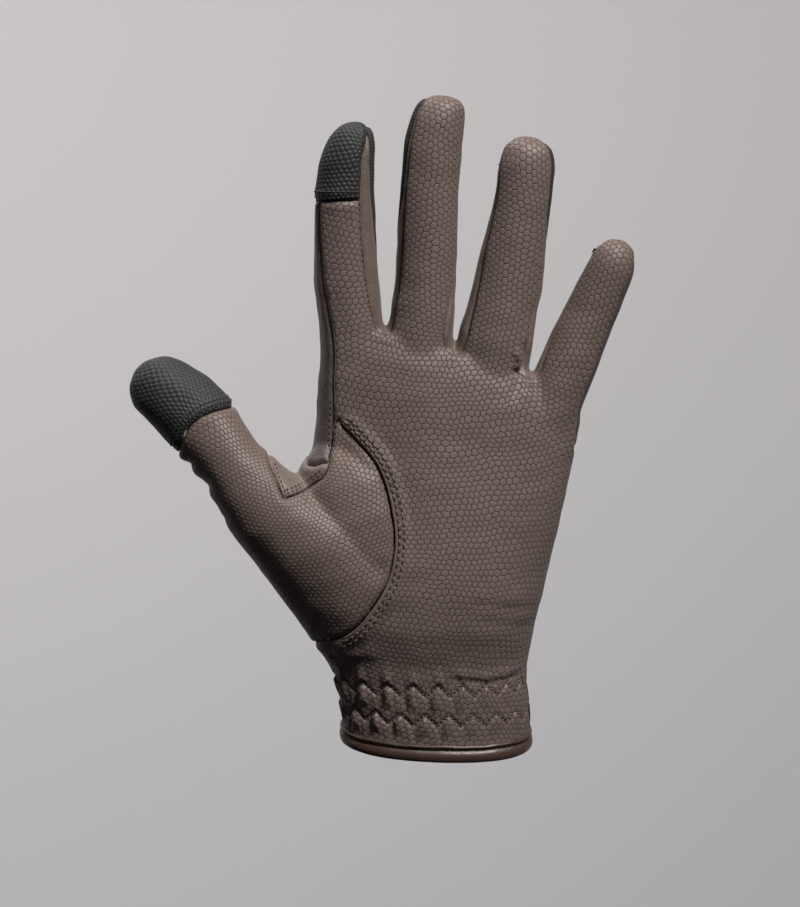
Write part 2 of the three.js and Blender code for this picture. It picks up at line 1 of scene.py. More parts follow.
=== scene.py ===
"""Looks of a horse riding glove for the left hand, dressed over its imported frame.

The glove keeps the form of a spread hand. One hollow form is lofted, skinned and smoothed, and every
leather piece is cut from it along its seams, so that neighbours meet in a seam as sewn panels do.
Sizes are in millimetres until a mesh is written, where they become metres.
"""

from __future__ import annotations

import logging
import math
from dataclasses import dataclass, field
from enum import Enum
from functools import cached_property
from typing import Callable, Sequence

import bmesh
import bpy
import numpy as np
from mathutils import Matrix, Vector
from mathutils.bvhtree import BVHTree
from mathutils.kdtree import KDTree


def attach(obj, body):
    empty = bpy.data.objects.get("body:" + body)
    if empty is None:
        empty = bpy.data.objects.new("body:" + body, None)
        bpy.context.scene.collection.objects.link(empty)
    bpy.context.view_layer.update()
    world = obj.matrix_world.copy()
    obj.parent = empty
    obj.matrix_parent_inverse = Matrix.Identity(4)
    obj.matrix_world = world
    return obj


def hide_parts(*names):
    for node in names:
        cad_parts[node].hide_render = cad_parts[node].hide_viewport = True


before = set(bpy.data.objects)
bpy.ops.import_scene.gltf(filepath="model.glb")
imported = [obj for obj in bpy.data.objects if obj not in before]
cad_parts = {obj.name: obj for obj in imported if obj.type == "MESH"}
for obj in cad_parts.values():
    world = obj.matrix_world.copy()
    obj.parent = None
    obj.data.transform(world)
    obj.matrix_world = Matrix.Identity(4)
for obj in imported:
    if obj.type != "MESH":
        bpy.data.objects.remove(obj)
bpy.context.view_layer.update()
LOG = logging.getLogger("riding_glove")

MM = 0.001
Points = np.ndarray


# ---------------------------------------------------------------- small helpers on objects and meshes

def select_only(piece: bpy.types.Object) -> None:
    """Selects one object alone and makes it the active one."""
    bpy.ops.object.select_all(action="DESELECT")
    piece.select_set(True)
    bpy.context.view_layer.objects.active = piece


def read_points(piece: bpy.types.Object) -> Points:
    """Returns the vertices of a mesh object in millimetres, one row each."""
    flat = np.empty(len(piece.data.vertices) * 3, dtype=np.float32)
    piece.data.vertices.foreach_get("co", flat)
    return flat.reshape(-1, 3).astype(float) / MM


def read_normals(piece: bpy.types.Object) -> Points:
    """Returns the vertex normals of a mesh object, one row each."""
    flat = np.empty(len(piece.data.vertices) * 3, dtype=np.float32)
    piece.data.vertex_normals.foreach_get("vector", flat)
    return flat.reshape(-1, 3).astype(float)


def write_points(piece: bpy.types.Object, points: Points) -> None:
    """Moves the vertices of a mesh object to places given in millimetres."""
    piece.data.vertices.foreach_set("co", (points * MM).astype(np.float32).ravel())
    piece.data.update()


def apply_modifier(piece: bpy.types.Object, kind: str, **settings: object) -> None:
    """Adds a modifier with its settings and applies it.

    Args:
        piece: the mesh object.
        kind: Blender's name of the modifier's type.
        settings: the modifier's properties.
    """
    select_only(piece)
    modifier = piece.modifiers.new(kind.title(), kind)
    for name, value in settings.items():
        setattr(modifier, name, value)
    bpy.ops.object.modifier_apply(modifier=modifier.name)


def edit(piece: bpy.types.Object, *steps: Callable[[], object]) -> None:
    """Runs edit-mode operators on everything in a piece, one after another."""
    select_only(piece)
    bpy.ops.object.mode_set(mode="EDIT")
    bpy.ops.mesh.select_all(action="SELECT")
    for step in steps:
        step()
    bpy.ops.object.mode_set(mode="OBJECT")


def shade_smooth(piece: bpy.types.Object) -> None:
    """Shades all faces of a piece smoothly."""
    select_only(piece)
    bpy.ops.object.shade_smooth()


def new_object(name: str, data: bpy.types.ID) -> bpy.types.Object:
    """Adds an object with its data to the scene."""
    piece = bpy.data.objects.new(name, data)
    bpy.context.scene.collection.objects.link(piece)
    return piece


def wrapped_sheet(name: str, columns: int, rows: int,
                  place: Callable[[Points, Points], Points]) -> bpy.types.Object:
    """Adds a grid and wraps it round a form.

    Args:
        name: name of the new object.
        columns: faces along the first direction.
        rows: faces along the second direction.
        place: gives the points for two arrays of shares, 0 to 1 along each direction.

    Returns:
        The wrapped mesh object, still open at its edges.
    """
    bpy.ops.object.select_all(action="DESELECT")
    bpy.ops.mesh.primitive_grid_add(x_subdivisions=columns, y_subdivisions=rows, size=1.0)
    piece = bpy.context.object
    piece.name = piece.data.name = name
    flat = read_points(piece) * MM
    write_points(piece, place(flat[:, 0] + 0.5, flat[:, 1] + 0.5))
    return piece


def soft_noise(points: Points, size: float, seed: int) -> np.ndarray:
    """Returns smooth repeatable noise between about -1 and 1.

    Args:
        points: where it is wanted, in millimetres.
        size: width of its typical bump.
        seed: picks one pattern.
    """
    turn = np.random.default_rng(seed)
    waves = turn.normal(size=(7, 3))
    waves /= np.linalg.norm(waves, axis=1, keepdims=True)
    pace = turn.uniform(0.7, 1.4, 7) * math.pi / size
    return np.sin(points @ waves.T * pace + turn.uniform(0, 2 * math.pi, 7)).sum(axis=1) / 3.2


def bump(value: np.ndarray, middle: float, reach: float) -> np.ndarray:
    """Returns a bell of height 1 round the middle."""
    return np.exp(-((value - middle) / reach) ** 2)


def ramp(value: np.ndarray, start: float, end: float) -> np.ndarray:
    """Returns a smooth step from 0 at start to 1 at end."""
    share = np.clip((value - start) / (end - start), 0, 1)
    return share * share * (3 - 2 * share)


def reach_along(line: Points) -> np.ndarray:
    """Returns how far each corner of a line lies from the line's start."""
    return np.concatenate([[0], np.cumsum(np.linalg.norm(np.diff(line, axis=0), axis=1))])


def line_distance(points: Points, line: Points) -> tuple[np.ndarray, np.ndarray]:
    """Measures how far points lie from an open line in a plane.

    Args:
        points: places, two columns.
        line: corners of the line, two columns.

    Returns:
        The distance, positive to the right of the line's direction, and the share of its length.
    """
    best = np.full(len(points), 1e9)
    along = np.zeros(len(points))
    steps = np.linalg.norm(np.diff(line, axis=0), axis=1)
    reach = np.concatenate([[0], np.cumsum(steps)])
    for i, (start, end) in enumerate(zip(line[:-1], line[1:])):
        way = end - start
        share = np.clip(((points - start) @ way) / (way @ way), 0, 1)
        gap = points - (start + share[:, None] * way)
        size = np.hypot(gap[:, 0], gap[:, 1])
        side = np.where(gap[:, 0] * way[1] - gap[:, 1] * way[0] >= 0, 1.0, -1.0)
        closer = size < np.abs(best)
        best = np.where(closer, size * side, best)
        along = np.where(closer, (reach[i] + share * steps[i]) / reach[-1], along)
    return best, along


def outline_distance(points: Points, outline: Points) -> np.ndarray:
    """Measures how deep points lie inside a closed outline: positive inside, negative outside."""
    closed = np.vstack([outline, outline[:1]])
    gap, _ = line_distance(points, closed)
    inside = np.zeros(len(points), dtype=bool)
    for start, end in zip(closed[:-1], closed[1:]):
        straddles = (start[1] > points[:, 1]) != (end[1] > points[:, 1])
        rise = end[1] - start[1] if end[1] != start[1] else 1e-9
        crossing = (end[0] - start[0]) * (points[:, 1] - start[1]) / rise + start[0]
        inside ^= straddles & (points[:, 0] < crossing)
    return np.where(inside, np.abs(gap), -np.abs(gap))


def smooth_line(corners: Sequence[tuple[float, float]], steps: int = 8) -> Points:
    """Returns a rounded line through corners, as a Catmull-Rom curve."""
    knots = np.array(corners, dtype=float)
    padded = np.vstack([2 * knots[0] - knots[1], knots, 2 * knots[-1] - knots[-2]])
    pieces = []
    for a, b, c, d in zip(padded, padded[1:], padded[2:], padded[3:]):
        t = np.linspace(0, 1, steps, endpoint=False)[:, None]
        square, cube = 2 * a - 5 * b + 4 * c - d, 3 * b - a - 3 * c + d
        pieces.append(0.5 * (2 * b + (c - a) * t + square * t**2 + cube * t**3))
    return np.vstack([*pieces, knots[-1:]])


# ------------------------------------------------------------------------------------ the hand's form

class Side(Enum):
    """The two sides of a finger, as seen on the palm of the left hand."""

    THUMBWARD = -1
    OUTWARD = 1


@dataclass(frozen=True)
class Tube:
    """A finger as a row of rounded sections along a leaning axis.

    Each row holds: share of the length, sway and width as shares of the width, tilt in degrees,
    and bow, front and back as shares of the depth.
    """

    root: tuple[float, float]
    lean: float
    length: float
    width: float
    depth: float
    rows: tuple[tuple[float, ...], ...]
    roundness: float = 2.15

    @cached_property
    def along(self) -> Points:
        """Direction of the axis."""
        return np.array([math.sin(math.radians(self.lean)), 0, math.cos(math.radians(self.lean))])

    @cached_property
    def across(self) -> Points:
        """Direction across the axis, towards the little finger."""
        return np.array([math.cos(math.radians(self.lean)), 0, -math.sin(math.radians(self.lean))])

    @cached_property
    def start(self) -> Points:
        """Where the axis begins."""
        return np.array([self.root[0], 0.0, self.root[1]])

    def columns(self, at: np.ndarray) -> np.ndarray:
        """Returns the table's columns, after the first, at shares of the length."""
        table = np.array(self.rows)
        return np.stack([np.interp(at, table[:, 0], column) for column in table[:, 1:].T])

    def surface(self, at: np.ndarray, angle: np.ndarray, reach: float = 1.0) -> Points:
        """Returns points on the tube.

        Args:
            at: shares of the length.
            angle: radians round the section from the palm side, positive towards the little finger.
            reach: share of the section's own reach.
        """
        sway, width, tilt, bow, front, back = self.columns(at)
        turn = np.radians(self.lean + tilt)
        aside_way = np.stack([np.cos(turn), np.zeros_like(turn), -np.sin(turn)], axis=1)
        power = 2 / self.roundness
        sine, cosine = np.sin(angle), np.cos(angle)
        aside = np.sign(sine) * np.abs(sine) ** power * width * self.width / 2 * reach
        ahead = (np.sign(cosine) * np.abs(cosine) ** power * np.where(cosine > 0, front, back)
                 * self.depth * reach)
        middle = (self.start + np.outer(at * self.length, self.along)
                  + np.outer(sway * self.width, self.across))
        middle[:, 1] += bow * self.depth - ahead
        return middle + aside[:, None] * aside_way

    def local(self, points: Points) -> tuple[np.ndarray, np.ndarray, np.ndarray]:
        """Reads places against the tube.

        Args:
            points: places in millimetres.

        Returns:
            Share of the length, degrees round from the palm side, and millimetres across from the middle.
        """
        offset = points - self.start
        at = offset @ self.along / self.length
        sway, width, _, bow, front, back = self.columns(at)
        aside = offset @ self.across - sway * self.width
        ahead = bow * self.depth - points[:, 1]
        power = self.roundness / 2
        wide = (np.abs(aside) / (width * self.width / 2)) ** power
        deep = (np.abs(ahead) / (np.where(ahead > 0, front, back) * self.depth)) ** power
        return at, np.degrees(np.arctan2(wide, np.sign(ahead) * deep)), aside


THUMB = Tube((-16.2, 28.75), -40.6, 125.7, 24, 22, (
    (0.00, -0.010, 1.600, 19, -0.05, 0.72, 0.66),
    (0.16, 0.220, 1.870, 9, -0.12, 0.86, 0.62),
    (0.34, 0.165, 1.600, 7, -0.20, 0.84, 0.60),
    (0.47, 0.060, 1.320, 8, -0.25, 0.70, 0.58),
    (0.56, 0.025, 1.050, 9, -0.26, 0.58, 0.56),
    (0.65, 0.045, 0.880, 6, -0.20, 0.52, 0.52),
    (0.78, 0.070, 0.995, 0, -0.06, 0.50, 0.50),
    (0.86, 0.040, 0.985, 0, 0.08, 0.48, 0.48),
    (0.93, -0.045, 0.900, 0, 0.17, 0.42, 0.42),
    (0.975, -0.065, 0.680, 0, 0.22, 0.31, 0.31),
    (1.00, -0.065, 0.20, 0, 0.24, 0.10, 0.10),
), 2.1)

INDEX = Tube((-26.4, 112.5), -0.8, 94.6, 19.2, 18.5, (
    (-0.30, -0.170, 1.38, 0, 0.00, 0.56, 0.56),
    (-0.16, -0.160, 1.22, 0, 0.00, 0.54, 0.54),
    (0.00, -0.090, 1.16, 0, 0.00, 0.54, 0.54),
    (0.16, -0.075, 1.10, 0, 0.01, 0.53, 0.54),
    (0.28, -0.110, 1.075, 0, 0.02, 0.52, 0.53),
    (0.42, -0.175, 1.09, 0, 0.03, 0.51, 0.52),
    (0.58, -0.185, 1.02, 0, 0.02, 0.50, 0.50),
    (0.74, -0.165, 0.97, 0, -0.02, 0.50, 0.46),
    (0.84, -0.120, 0.91, 0, -0.06, 0.47, 0.42),
    (0.891, -0.065, 0.83, 0, -0.08, 0.43, 0.38),
    (0.933, -0.020, 0.70, 0, -0.10, 0.35, 0.31),
    (0.958, 0.010, 0.50, 0, -0.11, 0.25, 0.23),
    (0.972, 0.000, 0.22, 0, -0.11, 0.10, 0.10),
))

MIDDLE = Tube((-5.0, 112.5), 3.7, 104.6, 19.1, 18.5, (
    (0.00, -0.060, 1.18, 0, 0.00, 0.55, 0.55),
    (0.20, -0.110, 1.10, 0, 0.01, 0.54, 0.55),
    (0.28, -0.085, 1.08, 0, 0.02, 0.53, 0.54),
    (0.38, -0.075, 1.02, 0, 0.03, 0.52, 0.53),
    (0.52, -0.093, 1.02, 0, 0.02, 0.50, 0.51),
    (0.67, -0.105, 0.985, 0, -0.01, 0.50, 0.48),
    (0.81, -0.085, 0.98, 0, -0.06, 0.48, 0.44),
    (0.898, -0.035, 0.91, 0, -0.09, 0.44, 0.40),
    (0.938, 0.010, 0.80, 0, -0.11, 0.36, 0.33),
    (0.959, 0.020, 0.58, 0, -0.12, 0.26, 0.24),
    (0.968, 0.020, 0.24, 0, -0.12, 0.11, 0.11),
))

RING = Tube((15.8, 107.5), 8.8, 96.6, 18.8, 18, (
    (0.00, 0.000, 1.28, 0, 0.00, 0.55, 0.55),
    (0.28, 0.010, 1.31, 0, 0.01, 0.55, 0.55),
    (0.36, 0.030, 1.21, 0, 0.02, 0.54, 0.54),
    (0.46, 0.065, 1.18, 0, 0.03, 0.53, 0.53),
    (0.57, 0.060, 1.085, 0, 0.02, 0.51, 0.51),
    (0.68, 0.085, 1.00, 0, 0.00, 0.50, 0.49),
    (0.78, 0.090, 0.945, 0, -0.03, 0.49, 0.46),
    (0.877, 0.065, 0.94, 0, -0.07, 0.45, 0.42),
    (0.925, 0.060, 0.85, 0, -0.09, 0.38, 0.35),
    (0.953, 0.055, 0.61, 0, -0.10, 0.26, 0.24),
    (0.969, 0.055, 0.24, 0, -0.10, 0.11, 0.11),
))

LITTLE = Tube((33.4, 100.0), 21.8, 74.6, 15.6, 15.5, (
    (0.00, 0.020, 1.34, 0, 0.00, 0.62, 0.62),
    (0.25, 0.030, 1.20, 0, 0.00, 0.58, 0.58),
    (0.46, 0.060, 1.13, 0, 0.01, 0.54, 0.54),
    (0.61, 0.105, 1.04, 0, 0.00, 0.51, 0.51),
    (0.75, 0.110, 0.99, 0, -0.03, 0.50, 0.48),
    (0.838, 0.100, 0.95, 0, -0.06, 0.47, 0.44),
    (0.893, 0.095, 0.86, 0, -0.08, 0.40, 0.37),
    (0.930, 0.095, 0.63, 0, -0.09, 0.28, 0.26),
    (0.952, 0.095, 0.26, 0, -0.09, 0.11, 0.11),
))

# The muscle that carries the palm over into the thumb.
WEB = Tube((-19.0, 46.0), -14.0, 56.0, 38, 20, (
    (0.00, 0.000, 0.50, 0, 0.00, 0.60, 0.30),
    (0.25, 0.000, 0.92, 0, 0.00, 0.99, 0.40),
    (0.50, 0.000, 1.00, 0, 0.00, 0.98, 0.40),
    (0.72, -0.030, 0.92, 0, 0.00, 0.84, 0.40),
    (0.86, -0.080, 0.66, 0, 0.00, 0.66, 0.36),
    (0.96, -0.100, 0.30, 0, 0.00, 0.45, 0.30),
    (1.00, -0.100, 0.14, 0, 0.00, 0.30, 0.20),
), 2.6)

FINGERS = (INDEX, MIDDLE, RING, LITTLE)


@dataclass(frozen=True)
class Trunk:
    """The palm and the cuff as level sections that dip towards the hem.

    Each row holds: height, middle across, half width, reach to the palm side and to the back, tilt.
    """

    rows: tuple[tuple[float, ...], ...] = (
        (-16.0, 0.0, 31.0, 17.4, 20.6, 0),
        (5.0, -0.2, 31.2, 17.8, 20.8, 0),
        (11.5, -0.7, 31.4, 18.1, 20.4, 0),
        (19.5, -2.0, 31.8, 18.3, 19.4, 0),
        (25.0, -2.6, 32.8, 18.5, 18.6, 0),
        (30.0, -2.6, 33.9, 19.8, 17.8, 0),
        (36.0, -2.4, 34.9, 21.4, 17.1, 0),
        (47.5, -1.3, 36.9, 21.6, 15.9, 0),
        (60.0, -0.1, 38.2, 20.2, 14.7, 0),
        (80.0, 2.1, 40.9, 17.2, 13.8, 0),
        (97.5, 3.0, 43.0, 14.6, 13.2, 3),
        (112.5, 4.2, 44.1, 13.0, 12.6, 9),
        (121.0, 4.6, 43.3, 11.6, 11.6, 15),
        (128.5, 4.4, 40.5, 9.0, 9.0, 16),
    )
    roundness: float = 2.25
    hem_tilt: float = 12.0        # degrees up to the back
    hem_lean: float = 2.0         # degrees down to the little finger's side
    hem_drop: float = 1.3
    cuff_height: float = 32.0

    def slope(self, points: Points) -> np.ndarray:
        """Returns the height of the hem's plane below or above places."""
        lean, tilt = math.radians(self.hem_lean), math.radians(self.hem_tilt)
        return points[:, 1] * math.tan(tilt) - points[:, 0] * math.tan(lean) - self.hem_drop

    def surface(self, level: np.ndarray, angle: np.ndarray, out: np.ndarray | float = 0.0) -> Points:
        """Returns points on the trunk.

        Args:
            level: heights before the hem's dip.
            angle: radians round from the palm side, positive towards the little finger.
            out: how far outside the surface.
        """
        table = np.array(self.rows)
        middle, half, front, back, tilt = (np.interp(level, table[:, 0], column) for column in table[:, 1:].T)
        power = 2 / self.roundness
        sine, cosine = np.sin(angle), np.cos(angle)
        aside = np.sign(sine) * np.abs(sine) ** power * (half + out)
        depth = -np.sign(cosine) * np.abs(cosine) ** power * (np.where(cosine > 0, front, back) + out)
        turn = np.radians(tilt)
        points = np.stack([middle + aside * np.cos(turn), depth, level - aside * np.sin(turn)], axis=1)
        points[:, 2] += self.slope(points) * np.clip(1 - level / self.cuff_height, 0, None)
        return points

    def level(self, points: Points) -> np.ndarray:
        """Returns the level of places before the hem's dip."""
        slope = self.slope(points)
        low = (points[:, 2] - slope) / (1 - slope / self.cuff_height)
        return np.where(low < self.cuff_height, low, points[:, 2])

    def girth(self, points: Points) -> np.ndarray:
        """Returns millimetres round the wrist from the middle of the palm side."""
        return np.arctan2(points[:, 0] / 31, -points[:, 1] / 20.5) * 27.5


TRUNK = Trunk()


@dataclass(frozen=True)
class Strip:
    """A strip down a finger's side, between its palm seam and its back seam.

    Each row holds: share of the finger's length, and the two seams in degrees from the palm side.
    """

    finger: Tube
    side: Side
    rows: tuple[tuple[float, float, float], ...]

    def inside(self, points: Points, nearest: np.ndarray) -> np.ndarray:
        """Returns how deep places lie inside the strip, in millimetres."""
        at, angle, aside = self.finger.local(points)
        table = np.array(self.rows)
        palm, back = (np.interp(at, table[:, 0], column) for column in table[:, 1:].T)
        radius = math.radians(self.finger.width / 2)
        depth = np.minimum(angle - palm, back - angle) * radius
        depth = np.minimum(depth, (at - table[0, 0]) * self.finger.length)
        depth = np.minimum(depth, (table[-1, 0] - at) * self.finger.length)
        stranger = (aside * self.side.value < 0) | (nearest != FINGERS.index(self.finger))
        return np.where(stranger, -4.0, depth)


INDEX_OUTER = Strip(INDEX, Side.THUMBWARD, (
    (-0.30, 36, 104), (-0.16, 28, 102), (-0.05, 32, 100), (0.06, 36, 98), (0.20, 35, 97), (0.42, 45, 97),
    (0.705, 60, 92)))
INDEX_INNER = Strip(INDEX, Side.OUTWARD, (
    (0.20, 62, 130), (0.27, 50, 128), (0.33, 41, 116), (0.45, 36, 96), (0.60, 31, 80), (0.72, 31, 69),
    (0.86, 33, 61), (0.93, 44, 56), (0.948, 54, 54), (0.968, 89, 89)))
MIDDLE_OUTER = Strip(MIDDLE, Side.THUMBWARD, (
    (0.17, 66, 130), (0.24, 64, 128), (0.31, 65, 110), (0.50, 57, 92), (0.60, 57, 78), (0.66, 56, 69),
    (0.80, 53, 65), (0.90, 55, 63), (0.93, 60, 65), (0.944, 65, 65), (0.964, 89, 89)))
MIDDLE_INNER = Strip(MIDDLE, Side.OUTWARD, (
    (0.14, 62, 130), (0.21, 48, 128), (0.27, 50, 122), (0.36, 70, 116), (0.50, 88, 114), (0.86, 88, 102),
    (0.944, 92, 98)))
RING_OUTER = Strip(RING, Side.THUMBWARD, (
    (0.20, 62, 130), (0.27, 52, 128), (0.36, 56, 116), (0.60, 66, 100), (0.84, 74, 92), (0.946, 82, 88)))
RING_INNER = Strip(RING, Side.OUTWARD, (
    (0.10, 60, 130), (0.18, 50, 128), (0.27, 58, 120), (0.50, 76, 108), (0.62, 72, 90), (0.72, 66, 76),
    (0.84, 64, 72), (0.93, 66, 70), (0.946, 70, 70), (0.965, 89, 89)))
LITTLE_INNER = Strip(LITTLE, Side.THUMBWARD, (
    (0.20, 62, 130), (0.30, 58, 128), (0.42, 70, 116), (0.70, 80, 104), (0.918, 86, 94)))
LITTLE_OUTER = Strip(LITTLE, Side.OUTWARD, (
    (0.02, 84, 98), (0.20, 72, 112), (0.50, 62, 112), (0.82, 60, 100), (0.918, 70, 80)))

# Seams drawn on the palm side, across and up.
THENAR_SEAM = smooth_line([
    (-33.4, 106.3), (-28.0, 101.4), (-20.0, 92.0), (-15.6, 80.0), (-14.0, 66.5), (-16.6, 53.0),
    (-23.6, 41.5), (-30.5, 35.0), (-39.5, 32.0)])
GUSSET_CORNER = (-50.8, 81.2)
GUSSET_INNER = (-38.2, 87.6)
GUSSET_THUMB = (-57.6, 98.0)
GUSSET_END = (-36.0, 92.6)
STRIP_FOOT = [(-36.6, 90.2), GUSSET_END, (-35.4, 98.0), (-34.9, 103.0)]


# Where the touch patches begin: millimetres along the thumb's middle and how far that edge falls back
# at the thumb's sides, and the share of the index finger's length.
THUMB_TIP_EDGE = 100.8
THUMB_TIP_BOW = 4.4
INDEX_TIP_EDGE = 0.706

# The depth given to a place that can't be in a panel, in millimetres.
FAR_OUTSIDE = -4.0


def flat(points: Points) -> Points:
    """Drops the depth of places, leaving across and up."""
    return points[:, [0, 2]]


def thumb_inside(points: Points) -> np.ndarray:
    """Returns how deep places lie inside the thumb's own panel."""
    front = np.vstack([THENAR_SEAM, [(-53, 20), (-141, 50), (-141, 150), (GUSSET_THUMB[0], 150)],
                       [GUSSET_THUMB, GUSSET_CORNER, GUSSET_INNER], STRIP_FOOT])
    back = np.array([(-47, 95), (-41.4, 70), (-35.2, 47.5), (-33.9, 32), (-53, 20), (-141, 50), (-141, 150),
                     (-58, 150), (-58, 100)])
    inner = np.clip(points[:, 0] + 42, 0, 6) * ramp(points[:, 2], 79, 85)
    ahead = np.minimum(outline_distance(flat(points), front), 4 - 1.3 * inner - points[:, 1])
    behind = np.minimum(outline_distance(flat(points), back), points[:, 1] - 4)
    return np.maximum(ahead, behind)


def gusset_inside(points: Points) -> np.ndarray:
    """Returns how deep places lie inside the gusset between thumb and index finger."""
    behind = np.array([GUSSET_THUMB, GUSSET_CORNER, (-43.5, 82.0), (-42.6, 86.0), (-43.0, 119), (-53, 119)])
    outline = np.array([GUSSET_THUMB, GUSSET_CORNER, (-44.0, 83.6), GUSSET_INNER, (-36.6, 90.2), GUSSET_END,
                        (-38.4, 92.4), (-41.4, 91.3), (-43.6, 91.4), (-43.6, 119),
                        (-53, 119)])
    ahead = np.minimum(outline_distance(flat(points), outline), 2.5 - points[:, 1])
    depth = np.minimum(points[:, 1] + 0.5, 11 - points[:, 1])
    past = np.minimum(outline_distance(flat(points), behind), depth)
    return np.maximum(ahead, past)


def thumb_tip_inside(points: Points) -> np.ndarray:
    """Returns how deep places lie inside the thumb's touch patch, whose edge bows towards the tip."""
    at, _, aside = THUMB.local(points)
    edge = THUMB_TIP_EDGE - THUMB_TIP_BOW * np.clip(aside / 11.5, -1.2, 1.2) ** 2
    return np.minimum(at * THUMB.length - edge, 22 - np.abs(aside))


def side_line(points: Points) -> np.ndarray:
    """Returns the depth at which the palm side ends and the back begins."""
    up = points[:, 2]
    palm = np.interp(up, [85, 105, 160, 200], [4.0, 0.0, 0.0, -0.9])
    cuff = np.where(points[:, 0] > 0, -2.0, 4.0)
    return palm + (cuff - palm) * (1 - ramp(up, 18, 40))


class HandForm:
    """The smooth closed skin of the spread hand that every panel is cut from."""

    def __init__(self, voxel: float = 1.1, outset: float = 0.45) -> None:
        """Keeps the size of the skin's faces and how far smoothing is made up for, in millimetres."""
        self.voxel, self.outset = voxel, outset

    @staticmethod
    def _finger(name: str, tube: Tube) -> bpy.types.Object:
        """Returns one closed finger."""
        low, high = tube.rows[0][0], tube.rows[-1][0]

        def place(u: np.ndarray, v: np.ndarray) -> Points:
            """Returns points on the tube for shares round it and along it."""
            return tube.surface(low + v * (high - low), u * 2 * math.pi)
        return wrapped_sheet(name, 32, 90, place)

    @staticmethod
    def _trunk() -> bpy.types.Object:
        """Returns the closed palm and cuff."""
        low, high = TRUNK.rows[0][0], TRUNK.rows[-1][0]

        def place(u: np.ndarray, v: np.ndarray) -> Points:
            """Returns points on the trunk for shares round it and up it."""
            return TRUNK.surface(low + v * (high - low), u * 2 * math.pi)
        return wrapped_sheet("trunk", 72, 90, place)

    def build(self) -> bpy.types.Object:
        """Returns the skin, cut open at the hem."""
        parts = [self._trunk(), self._finger("thumb_form", THUMB), self._finger("web_form", WEB)]
        parts += [self._finger(f"finger_{i}", tube) for i, tube in enumerate(FINGERS)]
        for part in parts:
            edit(part, lambda: bpy.ops.mesh.remove_doubles(threshold=1e-6),
                 lambda: bpy.ops.mesh.fill_holes(sides=0),
                 lambda: bpy.ops.mesh.normals_make_consistent(inside=False))
        bpy.ops.object.select_all(action="DESELECT")
        for part in parts:
            part.select_set(True)
        bpy.context.view_layer.objects.active = parts[0]
        bpy.ops.object.join()
        skin = parts[0]
        skin.name = skin.data.name = "hand_form"
        apply_modifier(skin, "REMESH", mode="VOXEL", voxel_size=self.voxel * MM, use_smooth_shade=True)
        apply_modifier(skin, "SMOOTH", factor=0.5, iterations=7)
        write_points(skin, read_points(skin) + read_normals(skin) * self.outset)
        up = Vector((math.tan(math.radians(TRUNK.hem_lean)), -math.tan(math.radians(TRUNK.hem_tilt)), 1.0))
        edit(skin, lambda: bpy.ops.mesh.bisect(
            plane_co=(0, 0, (0.3 - TRUNK.hem_drop) * MM), plane_no=up.normalized(), clear_inner=True))
        return skin


# --------------------------------------------------------------------------------- cutting the panels

class Panel(Enum):
    """The pieces of the glove that are cut from the hand's form, by their nodes' names."""

    THUMB_TIP = "thumb_touch_tip"
    INDEX_MIDDLE = "fourchette_index_middle"
    MIDDLE_RING = "fourchette_middle_ring"
    RING_LITTLE = "fourchette_ring_little"
    INDEX_TIP = "index_touch_tip"
    GUSSET = "thumb_gusset"
    THUMB = "thumb_panel"
    INDEX_SIDE = "index_side_strip"
    LITTLE_SIDE = "little_side_strip"
    BACK = "back_panel"
    PALM = "palm_panel"


